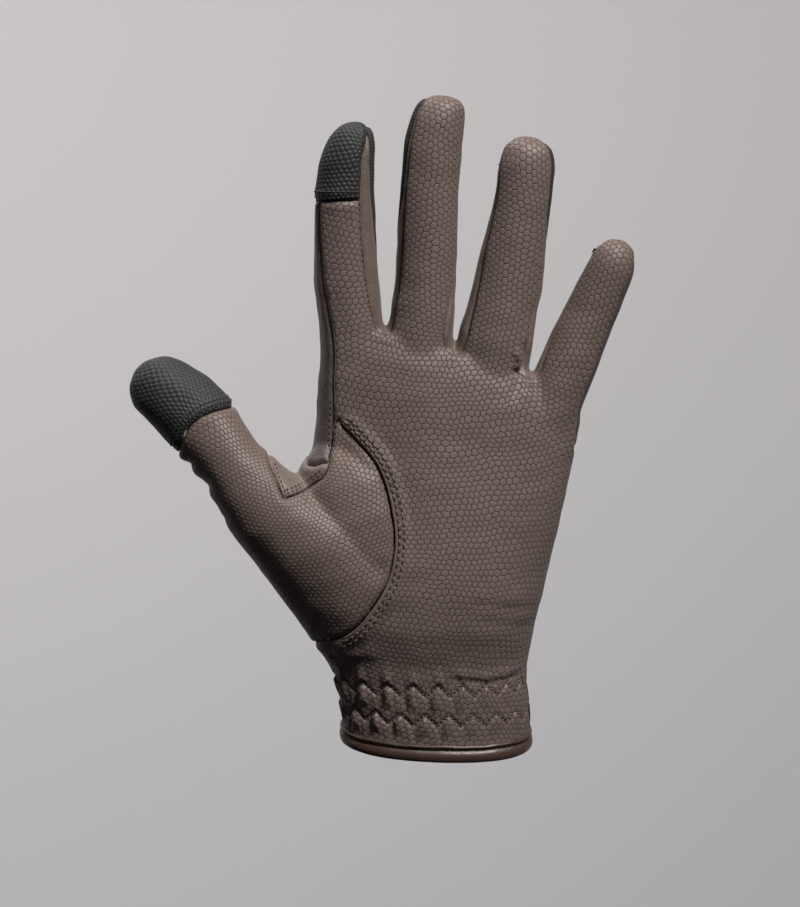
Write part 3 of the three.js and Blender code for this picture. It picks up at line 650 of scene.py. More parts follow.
class Cutter:
    """Cuts the form along seams and labels its faces with the panel that they belong to."""

    def __init__(self, skin: bpy.types.Object) -> None:
        """Opens the skin's mesh for cutting."""
        self.skin = skin
        self.mesh = bmesh.new()
        self.mesh.from_mesh(skin.data)
        self.label = self.mesh.faces.layers.int.new("panel")

    def _places(self) -> Points:
        """Returns every vertex in millimetres."""
        self.mesh.verts.ensure_lookup_table()
        self.mesh.verts.index_update()
        return np.array([vert.co[:] for vert in self.mesh.verts]) / MM

    def take(self, number: int, inside: Callable[[Points], np.ndarray]) -> None:
        """Cuts out a panel.

        Args:
            number: label for its faces.
            inside: gives how deep places lie inside the panel, negative outside.
        """
        values = inside(self._places())
        cut = [edge for edge in self.mesh.edges
               if values[edge.verts[0].index] * values[edge.verts[1].index] < 0
               and any(face[self.label] == 0 for face in edge.link_faces)]
        fresh = set()
        for edge in cut:
            start = edge.verts[0]
            low, high = values[start.index], values[edge.verts[1].index]
            _, vert = bmesh.utils.edge_split(edge, start, float(np.clip(low / (low - high), 0.02, 0.98)))
            fresh.add(vert)
        around = {face for vert in fresh for face in vert.link_faces if face[self.label] == 0}
        for face in around:
            ends = [vert for vert in face.verts if vert in fresh]
            if len(ends) == 2:
                bmesh.utils.face_split(face, ends[0], ends[1])
        free = [face for face in self.mesh.faces if face[self.label] == 0]
        depth = inside(np.array([face.calc_center_median()[:] for face in free]) / MM)
        for face, value in zip(free, depth):
            if value > 0:
                face[self.label] = number

    def panels(self) -> dict[Panel, bpy.types.Object]:
        """Returns one open mesh object for each panel and deletes the skin."""
        numbers = {panel: i + 1 for i, panel in enumerate(Panel)}
        takes = self._takes()
        for panel, inside in takes.items():
            self.take(numbers[panel], inside)
        self._drop_islands(numbers)
        bmesh.ops.remove_doubles(self.mesh, verts=self.mesh.verts, dist=0.22 * MM)
        result = {}
        for panel, number in numbers.items():
            cut = self.mesh.copy()
            label = cut.faces.layers.int["panel"]
            bmesh.ops.delete(cut, geom=[face for face in cut.faces if face[label] != number], context="FACES")
            mesh = bpy.data.meshes.new(panel.value + "_leather")
            cut.to_mesh(mesh)
            cut.free()
            result[panel] = new_object(panel.value + "_leather", mesh)
        self.mesh.free()
        bpy.data.objects.remove(self.skin)
        return result

    def _drop_islands(self, numbers: dict[Panel, int]) -> None:
        """Gives scraps of a panel, which seams cut off, to the neighbour that surrounds them."""
        seen: set[bmesh.types.BMFace] = set()
        islands: dict[int, list[list[bmesh.types.BMFace]]] = {}
        for first in self.mesh.faces:
            if first in seen:
                continue
            number, stack, island = first[self.label], [first], []
            seen.add(first)
            while stack:
                face = stack.pop()
                island.append(face)
                for edge in face.edges:
                    for other in edge.link_faces:
                        if other not in seen and other[self.label] == number:
                            seen.add(other)
                            stack.append(other)
            islands.setdefault(number, []).append(island)
        for number, group in islands.items():
            group.sort(key=len)
            for island in group[:-1]:
                members = set(island)
                around = [other[self.label] for face in island for edge in face.edges
                          for other in edge.link_faces if other not in members]
                if around:
                    heir = max(set(around), key=around.count)
                    for face in island:
                        face[self.label] = heir

    @staticmethod
    def _takes() -> dict[Panel, Callable[[Points], np.ndarray]]:
        """Returns the test of each panel, in the order in which they are cut."""
        def nearest(points: Points) -> np.ndarray:
            """Returns the number of the finger whose axis is nearest to each place."""
            return np.argmin([np.abs(finger.local(points)[2]) for finger in FINGERS], axis=0)

        def strips(*parts: Strip) -> Callable[[Points], np.ndarray]:
            """Returns the test of a panel that is made of one or two strips."""
            return lambda points: np.max([part.inside(points, nearest(points)) for part in parts], axis=0)

        def index_tip(points: Points) -> np.ndarray:
            """Returns how deep places lie inside the index finger's touch patch."""
            at, _, _ = INDEX.local(points)
            past = (at - INDEX_TIP_EDGE) * INDEX.length
            other_finger = nearest(points) != FINGERS.index(INDEX)
            depth = np.minimum(past, side_line(points) - points[:, 1])
            depth = np.minimum(depth, -beyond(INDEX_INNER, points))
            return np.where(other_finger, FAR_OUTSIDE, depth)

        def beyond(strip: Strip, points: Points) -> np.ndarray:
            """Returns how far places lie past the strip's back seam."""
            at, angle, aside = strip.finger.local(points)
            table = np.array(strip.rows)
            gap = (angle - np.interp(at, table[:, 0], table[:, 2])) * math.radians(strip.finger.width / 2)
            low = max(0.25, table[0, 0]) if strip is not INDEX_OUTER else table[0, 0]
            own = (nearest(points) == FINGERS.index(strip.finger)) & (aside * strip.side.value > 0)
            return np.where(own & (at > low) & (at < table[-1, 0]), gap, FAR_OUTSIDE)

        def back(points: Points) -> np.ndarray:
            """Returns how deep places lie on the back of the hand."""
            past = [beyond(strip, points) for strip in (INDEX_OUTER, INDEX_INNER, MIDDLE_OUTER, RING_INNER)]
            return np.max([points[:, 1] - side_line(points), *past], axis=0)

        return {
            Panel.THUMB_TIP: thumb_tip_inside,
            Panel.INDEX_MIDDLE: strips(INDEX_INNER, MIDDLE_OUTER),
            Panel.MIDDLE_RING: strips(MIDDLE_INNER, RING_OUTER),
            Panel.RING_LITTLE: strips(RING_INNER, LITTLE_INNER),
            Panel.INDEX_TIP: index_tip,
            Panel.GUSSET: gusset_inside,
            Panel.THUMB: thumb_inside,
            Panel.INDEX_SIDE: strips(INDEX_OUTER),
            Panel.LITTLE_SIDE: strips(LITTLE_OUTER),
            Panel.BACK: back,
            Panel.PALM: lambda points: np.ones(len(points)),
        }


# --------------------------------------------------------------------------- relief of the leather

@dataclass
class Relief:
    """Moves a panel's surface: seam edges, gathers, folds and creases, all in millimetres."""

    groove: float = 0.75
    gather: float = 1.15
    period: float = 8.0
    rows: tuple[float, float] = (10.0, 18.6)
    swing: float = 1.7

    def height(self, panel: Panel, points: Points, seam: np.ndarray) -> np.ndarray:
        """Returns how far each place moves outwards.

        Args:
            panel: the panel that the places are on.
            points: the places.
            seam: their distance to the panel's nearest seam.
        """
        lift = -self.groove * bump(seam, 0.0, 0.8) + 0.16 * bump(seam, 2.2, 1.4)
        if panel in (Panel.PALM, Panel.THUMB):
            lift += self._thenar(panel, points)
        lift += self._gathers(points) + self._folds(points)
        lift += 0.20 * soft_noise(points, 14, 3) + 0.07 * soft_noise(points, 5, 4)
        if panel in (Panel.THUMB_TIP, Panel.INDEX_TIP):
            lift += 0.30
        return lift

    @staticmethod
    def _thenar(panel: Panel, points: Points) -> np.ndarray:
        """Lays the palm's edge over the thumb panel along the curved seam."""
        gap, share = line_distance(flat(points), THENAR_SEAM)
        near = (points[:, 1] < 0) * ramp(share, 0.0, 0.04) * (1 - 0.9 * ramp(share, 0.78, 0.97))
        if panel is Panel.PALM:
            own = np.abs(gap)
            over = 0.62 * (1 - ramp(own, 3.4, 6.5))
            return near * (over + 0.20 * bump(own, 0.0, 0.8) - 0.10 * bump(own, 2.4, 1.0))
        return -near * 0.30 * (1 - ramp(np.abs(gap), 0.5, 4.5))

    def zigzag(self, row: int, girth: np.ndarray) -> np.ndarray:
        """Returns the level of an elastic's zigzag stitches at distances round the wrist."""
        turn = girth / self.period + (0.0, 0.45)[row]
        return self.rows[row] + self.swing * (4 * np.abs(turn - np.floor(turn + 0.5)) - 1)

    def _gathers(self, points: Points) -> np.ndarray:
        """Raises the pointed puckers that hang below each of the two rows of elastic."""
        level, girth = TRUNK.level(points), TRUNK.girth(points)
        strength = 0.30 + 0.70 * (1 - ramp(points[:, 0], -6, 22))
        strength = np.where(points[:, 1] > 6, 0.85, strength) * (1 - 0.45 * bump(points[:, 1], 2, 9))
        total = np.zeros(len(points))
        for row, reach in ((0, 6.5), (1, 8.0)):
            line = self.zigzag(row, girth)
            below = line - level
            turn = girth / self.period + (0.0, 0.45)[row] + 0.06 * soft_noise(points, 8, 12 + row)
            leaf = 0.75 * np.cos(2 * math.pi * (turn + 0.5)) + 0.45 * np.cos(4 * math.pi * turn + 0.8)
            drop = ramp(below, 0.1, 1.8) * (1 - ramp(below, 0.55 * reach, reach))
            total += strength * drop * (0.30 + 0.62 * leaf)
            total -= (0.35 + 0.35 * strength) * bump(below, 0, 0.62)
            if row:
                total += strength * 0.45 * leaf * ramp(-below, 0.2, 1.4) * (1 - ramp(-below, 1.5, 6.5))
        return self.gather * total * ramp(level, 2.5, 4.5)

    @staticmethod
    def _folds(points: Points) -> np.ndarray:
        """Adds the creases at the wrist and the heel of the hand, and those of the thumb."""
        lift = np.zeros(len(points))
        front = 1 - ramp(points[:, 1], -3, 6)
        creases = (
            ([(11, 46.5), (22, 44.5), (34.6, 43.0)], 0.22, 1.6),
            ([(4.0, 20.6), (10, 19.6), (16, 19.0), (22, 19.4), (27, 20.8), (30.5, 22.6)], 0.50, 1.1),
            ([(14, 40.0), (24, 38.2), (33, 37.0)], 0.18, 1.6),
            ([(-36.0, 27.5), (-30, 25.5), (-24, 26.5)], 0.70, 1.4),
            ([(24.8, 123.8), (26.6, 122.3), (28.4, 122.4), (29.4, 126.0), (29.8, 131.0)], 1.25, 1.15),
            ([(28.0, 121.0), (27.0, 118.5), (25.5, 114.0)], 0.45, 1.6),
        )
        for corners, depth, width in creases:
            gap, share = line_distance(flat(points), smooth_line(corners))
            fade = ramp(share, 0, 0.12) * (1 - 0.7 * ramp(share, 0.75, 1.0))
            lift += front * fade * depth * (0.75 * bump(gap, -2.0 * width, 1.6 * width) - bump(gap, 0, width))
        at, angle, aside = THUMB.local(points)
        under = (aside < 0) * ramp(angle, 40, 85) * (1 - ramp(angle, 125, 160)) * (np.abs(aside) < 26)
        along = at * THUMB.length
        for place, size in ((94.5, 0.75), (87.0, 0.85), (77.5, 0.6), (66.0, 0.35)):
            lift += under * size * (bump(along, place, 2.4) - 0.8 * bump(along, place + 3.6, 1.3))
        return lift


# ------------------------------------------------------------------------------------ shader building

class Wire:
    """A shader socket that takes part in Python arithmetic."""

    def __init__(self, finish: "Shade", socket: bpy.types.NodeSocket) -> None:
        """Keeps the socket and the tree that it is in."""
        self.finish, self.socket = finish, socket

    def math(self, operation: str, *others: "Wire | float") -> "Wire":
        """Returns the result of a Math node on this value and others."""
        return self.finish.add("ShaderNodeMath", {"operation": operation}, dict(enumerate((self, *others))))

    def __add__(self, other: "Wire | float") -> "Wire":
        """Adds."""
        return self.math("ADD", other)

    __radd__ = __add__

    def __mul__(self, other: "Wire | float") -> "Wire":
        """Multiplies."""
        return self.math("MULTIPLY", other)

    __rmul__ = __mul__

    def __sub__(self, other: "Wire | float") -> "Wire":
        """Subtracts."""
        return self.math("SUBTRACT", other)

    def __rsub__(self, other: float) -> "Wire":
        """Subtracts this value from a number."""
        return self.finish.add("ShaderNodeMath", {"operation": "SUBTRACT"}, {0: other, 1: self})

    def __truediv__(self, other: "Wire | float") -> "Wire":
        """Divides."""
        return self.math("DIVIDE", other)

    def __lt__(self, other: "Wire | float") -> "Wire":
        """Is 1 where this value is smaller."""
        return self.math("LESS_THAN", other)

    def __mod__(self, other: float) -> "Wire":
        """Wraps round, always from 0 up."""
        return self.math("FLOORED_MODULO", other)

    def step(self, low: float, high: float) -> "Wire":
        """Returns a smooth step from 0 at low to 1 at high."""
        return self.finish.add("ShaderNodeMapRange", {"interpolation_type": "SMOOTHSTEP"},
                               {"Value": self, "From Min": low, "From Max": high})


class Shade:
    """Builds one material's node tree."""

    def __init__(self, name: str) -> None:
        """Starts a material with its Principled shader."""
        self.material = bpy.data.materials.new(name)
        self.material.use_nodes = True
        self.tree = self.material.node_tree
        self.body = self.tree.nodes["Principled BSDF"]

    def add(self, kind: str, settings: dict[str, object], values: dict[object, object],
            output: object = 0) -> Wire:
        """Adds a node.

        Args:
            kind: the node's type.
            settings: its properties, set first.
            values: a number, colour or wire for each of its sockets.
            output: name or number of the socket that is returned.
        """
        node = self.tree.nodes.new(kind)
        for name, value in settings.items():
            setattr(node, name, value)
        for name, value in values.items():
            if isinstance(value, Wire):
                self.tree.links.new(value.socket, node.inputs[name])
            else:
                node.inputs[name].default_value = value
        return Wire(self, node.outputs[output])

    def place(self) -> Wire:
        """Returns the Object coordinates, in metres."""
        return self.add("ShaderNodeTexCoord", {}, {}, "Object")

    def grain_map(self) -> Wire:
        """Returns the coordinates that lie along the leather, in metres."""
        return self.add("ShaderNodeUVMap", {"uv_map": "grain"}, {})

    def split(self, vector: Wire) -> tuple[Wire, Wire, Wire]:
        """Returns the three parts of a vector."""
        first = self.add("ShaderNodeSeparateXYZ", {}, {0: vector}, 0)
        node = first.socket.node
        return first, Wire(self, node.outputs[1]), Wire(self, node.outputs[2])

    def noise(self, vector: Wire, scale: float, detail: float = 2.0, output: str = "Fac") -> Wire:
        """Returns a noise texture's value or colour."""
        values = {"Vector": vector, "Scale": scale, "Detail": detail}
        return self.add("ShaderNodeTexNoise", {}, values, output)

    def blend(self, share: Wire | float, first: object, second: object) -> Wire:
        """Mixes two colours."""
        node = self.tree.nodes.new("ShaderNodeMix")
        node.data_type = "RGBA"
        for slot, value in ((0, share), (6, first), (7, second)):
            if isinstance(value, Wire):
                self.tree.links.new(value.socket, node.inputs[slot])
            else:
                node.inputs[slot].default_value = value
        return Wire(self, node.outputs[2])

    def finish(self, colour: Wire, rough: Wire | float, height: Wire, depth: float) -> bpy.types.Material:
        """Joins colour, roughness and relief to the shader.

        Args:
            colour: base colour.
            rough: roughness.
            height: relief, 0 to 1.
            depth: its real depth in metres.
        """
        self.tree.links.new(colour.socket, self.body.inputs["Base Color"])
        if isinstance(rough, Wire):
            self.tree.links.new(rough.socket, self.body.inputs["Roughness"])
        else:
            self.body.inputs["Roughness"].default_value = rough
        values = {"Height": height, "Distance": depth, "Strength": 1.0}
        relief = self.add("ShaderNodeBump", {}, values, "Normal")
        self.tree.links.new(relief.socket, self.body.inputs["Normal"])
        return self.material


Colour = tuple[float, float, float, float]


def tone(red: int, green: int, blue: int) -> Colour:
    """Returns a colour given in everyday 0 to 255 steps as the shader's linear one."""
    def linear(step: int) -> float:
        """Returns the linear value of one step."""
        share = step / 255
        return share / 12.92 if share <= 0.04045 else ((share + 0.055) / 1.055) ** 2.4
    return linear(red), linear(green), linear(blue), 1.0


def scaled(colour: Colour, factor: float, lift: float = 0.0) -> Colour:
    """Returns a colour made lighter or darker by a factor and then lifted a little."""
    return tuple(min(1.0, part * factor + lift) for part in colour[:3]) + (1.0,)


@dataclass(frozen=True)
class ScaleGrain:
    """Leather embossed with small rounded six-sided scales, along its own surface."""

    name: str
    top: Colour
    # Painted shade: the darker colour laid in the valleys between the scales.
    valley_shade: Colour
    cell: float = 2.2
    stretch: float = 1.0
    valley_width: float = 0.10
    depth: float = 0.28
    rough: float = 0.52
    sheen: float = 0.04

    def material(self) -> bpy.types.Material:
        """Returns the material."""
        shade = Shade(self.name)
        along = shade.grain_map()
        u, v, _ = shade.split(along)
        drift = shade.split(shade.noise(along, 55.0, 1.0, "Color"))
        wobble = shade.split(shade.noise(along, 0.42 / (self.cell * MM), 1.0, "Color"))
        pitch = self.cell * MM
        x = u / pitch + (drift[0] - 0.5) * 2.4 + (wobble[0] - 0.5) * 0.6
        y = v / (pitch * self.stretch) + (drift[1] - 0.5) * 2.4 + (wobble[1] - 0.5) * 0.6
        tall = math.sqrt(3)
        first = (x % 1.0 - 0.5, y % tall - tall / 2)
        second = ((x - 0.5) % 1.0 - 0.5, (y - tall / 2) % tall - tall / 2)
        reach = [px * px + py * py for px, py in (first, second)]
        pick = reach[0] < reach[1]
        gx, gy = (a * pick + b * (1 - pick) for a, b in zip(first, second))
        gx, gy = gx.math("ABSOLUTE"), gy.math("ABSOLUTE")
        edge = gx.math("MAXIMUM", gx * 0.5 + gy * (tall / 2))
        round_edge = (gx * gx + gy * gy).math("SQRT") * 0.90
        inside = 0.5 - edge.math("MAXIMUM", round_edge)
        scale = inside.step(0.0, self.valley_width)
        place = shade.place()
        cloud = shade.noise(place, 38.0, 3.0)
        fine = shade.noise(place, 2600.0, 2.0)
        # The valleys take the darker colour: painted shade in the recesses between the scales.
        dark = scale * 0.9 + 0.1
        base = shade.blend(cloud.step(0.3, 0.7) * 0.5, self.top, scaled(self.top, 0.86))
        colour = shade.blend(dark, self.valley_shade, base)
        height = scale * (0.86 + 0.14 * inside.step(0.0, 0.5)) + fine * 0.05
        shade.body.inputs["Sheen Weight"].default_value = self.sheen
        shade.body.inputs["Sheen Roughness"].default_value = 0.5
        shade.body.inputs["Specular IOR Level"].default_value = 0.42
        rough = self.rough + 0.12 * (1 - scale) + (cloud - 0.5) * 0.10
        return shade.finish(colour, rough, height, self.depth * MM)


@dataclass(frozen=True)
class PlainLeather:
    """Smooth leather with a fine pebble and faint creases."""

    name: str
    base: Colour
    rough: float = 0.5
    pebble: float = 0.7
    depth: float = 0.10
    sheen: float = 0.1

    def material(self) -> bpy.types.Material:
        """Returns the material."""
        shade = Shade(self.name)
        place = shade.place()
        grain = shade.add("ShaderNodeTexVoronoi", {"feature": "SMOOTH_F1"},
                          {"Vector": place, "Scale": 1 / (self.pebble * MM), "Smoothness": 0.6}, "Distance")
        cloud = shade.noise(place, 60.0, 3.0)
        crease = shade.noise(place, 420.0, 4.0)
        patches = cloud.step(0.3, 0.75) * 0.6 + grain.step(0.35, 0.8) * 0.35
        colour = shade.blend(patches, self.base, scaled(self.base, 0.72))
        shade.body.inputs["Sheen Weight"].default_value = self.sheen
        height = (1 - grain.step(0.1, 0.8)) * 0.7 + crease * 0.6
        return shade.finish(colour, self.rough + (cloud - 0.5) * 0.18, height, self.depth * MM)


@dataclass(frozen=True)
class Knit:
    """Fine stretch knit: small loops in slanting ribs."""

    name: str
    base: Colour
    gauge: float = 0.85
    rough: float = 0.85
    depth: float = 0.22

    def material(self) -> bpy.types.Material:
        """Returns the material."""
        shade = Shade(self.name)
        place = shade.place()
        x, _, z = shade.split(place)
        turn = 2 * math.pi / (self.gauge * MM)
        wale = (x * turn).math("SINE")
        course = (z * turn * 0.8 + wale * 0.9).math("SINE")
        loop = (wale * 0.5 + 0.5) * 0.5 + (course * 0.5 + 0.5) * 0.5
        fuzz = shade.noise(place, 3000.0, 2.0)
        cloud = shade.noise(place, 45.0, 2.0)
        lighter = scaled(self.base, 1.8, 0.002)
        colour = shade.blend(loop * 0.75 * (0.7 + 0.6 * fuzz) * (0.8 + 0.4 * cloud), self.base, lighter)
        shade.body.inputs["Sheen Weight"].default_value = 0.04
        return shade.finish(colour, self.rough, loop + fuzz * 0.3, self.depth * MM)


@dataclass(frozen=True)
class Thread:
    """Spun sewing thread with a slight shine."""

    name: str
    base: Colour

    def material(self) -> bpy.types.Material:
        """Returns the material."""
        shade = Shade(self.name)
        place = shade.place()
        fibre = shade.noise(place, 5200.0, 2.0)
        cloud = shade.noise(place, 160.0, 2.0)
        colour = shade.blend(fibre * 0.6 + cloud * 0.4, self.base, scaled(self.base, 1.7))
        return shade.finish(colour, 0.55 + 0.2 * fibre, fibre, 0.05 * MM)


# The second colour of each grain is painted shade for the valleys between its scales.
GRAIN = ScaleGrain("grain_leather_brown", tone(109, 95, 89), tone(90, 77, 73), cell=2.15, depth=0.36)
THUMB_GRAIN = ScaleGrain("grain_leather_thumb", tone(111, 96, 89), tone(86, 73, 68), cell=2.0,
                         stretch=0.80, depth=0.34)
TOUCH = ScaleGrain("touch_leather_black", tone(48, 49, 49), tone(27, 28, 28), cell=1.7, valley_width=0.36,
                   depth=0.20, rough=0.52)
SMOOTH = PlainLeather("strip_leather_brown", tone(104, 90, 82))
SIDE = PlainLeather("strip_leather_dark", tone(80, 69, 68), pebble=0.9)
BINDING = PlainLeather("binding_leather_brown", tone(72, 54, 45), rough=0.40, pebble=0.6, depth=0.05)
BACK = Knit("back_knit_black", tone(31, 29, 29))
LINING = Knit("lining_knit_brown", tone(44, 36, 33), gauge=1.1)
EDGE = PlainLeather("turned_edge_leather", tone(112, 97, 90), rough=0.46, pebble=0.5, depth=0.03)
DARK_THREAD = Thread("seam_thread_brown", tone(98, 84, 77))
SIDE_THREAD = Thread("seam_thread_dark", tone(80, 71, 66))
BLACK_THREAD = Thread("seam_thread_black", tone(50, 50, 50))
NEEDLE_HOLE = PlainLeather("needle_hole_shadow", tone(24, 20, 19), rough=0.9)


# ------------------------------------------------------------------------------------- dressed pieces

def hand_over(piece: bpy.types.Object, slot: str, *nodes: str) -> None:
    """Rides a piece on the glove and hides the nodes that it stands for."""
    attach(piece, "root")
    if nodes:
        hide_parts(*nodes)
    LOG.info("%s: %d faces", piece.name, len(piece.data.polygons))


@dataclass
class LeatherPanel:
    """One sewn panel, from the open sheet cut from the form to the finished leather."""

    panel: Panel
    sheet: bpy.types.Object
    outside: bpy.types.Material
    lining: bpy.types.Material
    slot: str
    relief: Relief = field(default_factory=Relief)
    thickness: float = 1.1
    gap: float = 0.16
    most_triangles: int = 185_000

    def _lay_grain(self) -> None:
        """Unrolls the sheet flat, at its real size and upright, as the map that the grain follows."""
        mesh = self.sheet.data
        self._slit_the_back()
        mesh.uv_layers.new(name="grain")
        edit(self.sheet, lambda: bpy.ops.uv.unwrap(method="MINIMUM_STRETCH", iterations=12, margin=0.0))
        layer = mesh.uv_layers["grain"]
        spread = np.empty(len(mesh.loops) * 2, dtype=np.float32)
        layer.uv.foreach_get("vector", spread)
        spread = spread.reshape(-1, 2).astype(float)
        owner = np.empty(len(mesh.loops), dtype=np.int32)
        mesh.loops.foreach_get("vertex_index", owner)
        places = read_points(self.sheet) * MM
        loops = np.roll(np.arange(len(owner)), -1)
        real = np.linalg.norm(places[owner] - places[owner[loops]], axis=1)
        drawn = np.linalg.norm(spread - spread[loops], axis=1)
        good = (drawn > 1e-9) & (real < 4 * MM)
        spread *= np.median(real[good] / drawn[good])
        upright = flat(places[owner])
        source, goal = spread - spread.mean(axis=0), upright - upright.mean(axis=0)
        left, _, right = np.linalg.svd(source.T @ goal)
        turn = left @ np.diag([1, np.sign(np.linalg.det(left @ right))]) @ right
        spread = source @ turn
        layer.uv.foreach_set("vector", spread.astype(np.float32).ravel())

    def _slit_the_back(self) -> None:
        """Marks a line down the back of the thumb, where its closed sheets are opened to lie flat."""
        if self.panel not in (Panel.THUMB, Panel.THUMB_TIP):
            return
        cut = bmesh.new()
        cut.from_mesh(self.sheet.data)
        middles = np.array([face.calc_center_median()[:] for face in cut.faces]) / MM
        _, angle, aside = THUMB.local(middles)
        cut.faces.index_update()
        for edge in cut.edges:
            pair = [face.index for face in edge.link_faces]
            if len(pair) == 2 and min(angle[pair]) > 120 and aside[pair[0]] * aside[pair[1]] < 0:
                edge.seam = True
        cut.to_mesh(self.sheet.data)
        cut.free()

    def _open_the_seams(self) -> None:
        """Draws the sheet's sewn edges back a little, which leaves a real gap at each seam."""
        cut = bmesh.new()
        cut.from_mesh(self.sheet.data)
        moves = []
        for vert in cut.verts:
            if vert.is_boundary and TRUNK.level(np.array([vert.co[:]]) / MM)[0] > 1.5:
                inner = [edge.other_vert(vert).co for edge in vert.link_edges if not edge.is_boundary]
                if inner:
                    way = sum(inner, Vector()) / len(inner) - vert.co
                    moves.append((vert, way.normalized() * min(self.gap * MM, way.length * 0.5)))
        for vert, move in moves:
            vert.co += move
        cut.to_mesh(self.sheet.data)
        cut.free()

    def _seam_distance(self, points: Points) -> np.ndarray:
        """Returns each place's distance to the sheet's sewn edges, leaving out the hem."""
        cut = bmesh.new()
        cut.from_mesh(self.sheet.data)
        edge = np.array([vert.co[:] for vert in cut.verts if vert.is_boundary]) / MM
        cut.free()
        edge = edge[TRUNK.level(edge) > 1.5]
        if not len(edge):
            return np.full(len(points), 50.0)
        tree = KDTree(len(edge))
        for i, place in enumerate(edge):
            tree.insert(Vector(place), i)
        tree.balance()
        return np.array([tree.find(Vector(place))[2] for place in points])

    def _thin(self) -> None:
        """Merges faces where the panel has more triangles than it may."""
        count = sum(len(face.vertices) - 2 for face in self.sheet.data.polygons)
        if count > self.most_triangles:
            ratio = self.most_triangles / count
            apply_modifier(self.sheet, "DECIMATE", decimate_type="COLLAPSE", ratio=ratio)

    def build(self) -> bpy.types.Object:
        """Returns the finished panel."""
        self._lay_grain()
        self._open_the_seams()
        apply_modifier(self.sheet, "SUBSURF", levels=1, render_levels=1)
        points, normals = read_points(self.sheet), read_normals(self.sheet)
        seam = self._seam_distance(points)
        points += normals * self.relief.height(self.panel, points, seam)[:, None]
        write_points(self.sheet, points)
        self.sheet.data.materials.append(self.outside)
        self.sheet.data.materials.append(self.lining)
        apply_modifier(self.sheet, "SOLIDIFY", thickness=self.thickness * MM, offset=-1.0, material_offset=1,
                       material_offset_rim=1, use_rim=True, use_quality_normals=True)
        self._thin()
        shade_smooth(self.sheet)
        hand_over(self.sheet, self.slot, self.panel.value)
        return self.sheet


@dataclass
class HemBinding:
    """The smooth strip folded round the wrist edge, with its bead, stitch groove and rolled lower edge."""

    material: bpy.types.Material
    # Height above the hem and distance outside the leather, round the strip's section.
    section: tuple[tuple[float, float], ...] = (
        (0.0, -1.6), (-1.4, -1.4), (-2.15, -0.6), (-2.3, 0.3), (-1.9, 1.1), (-0.9, 1.5), (0.1, 1.5),
        (0.85, 1.15), (1.2, 0.7), (1.4, 0.42), (1.65, 0.42), (1.85, 0.75), (2.1, 1.15), (2.4, 1.3),
        (2.75, 1.15), (3.0, 0.7), (2.95, 0.15), (2.3, -0.1), (1.0, -0.3), (1.0, -1.2), (1.8, -1.5),
        (2.4, -1.8), (2.3, -2.3), (1.6, -2.4), (0.6, -2.3))

    def build(self) -> bpy.types.Object:
        """Returns the finished strip."""
        ring = np.array(self.section)

        def place(u: np.ndarray, v: np.ndarray) -> Points:
            """Returns points on the strip for shares round the wrist and round the section."""
            corner = np.rint(v * len(ring)).astype(int) % len(ring)
            angle = u * 2 * math.pi
            wave = 0.18 * np.sin(angle * 9 + 1.0) + 0.12 * np.sin(angle * 23)
            out = ring[corner, 1] + 0.25 * wave
            points = TRUNK.surface(ring[corner, 0], angle, out)
            points[:, 2] += wave * np.clip(ring[corner, 0] / 5, 0, 1)
            return points
        piece = wrapped_sheet("hem_binding_strip", 220, len(ring), place)
        edit(piece, lambda: bpy.ops.mesh.remove_doubles(threshold=1e-7),
             lambda: bpy.ops.mesh.normals_make_consistent(inside=False))
        apply_modifier(piece, "SUBSURF", levels=1, render_levels=1)
        piece.data.materials.append(self.material)
        shade_smooth(piece)
        hand_over(piece, "binding_leather", "hem_binding")
        return piece


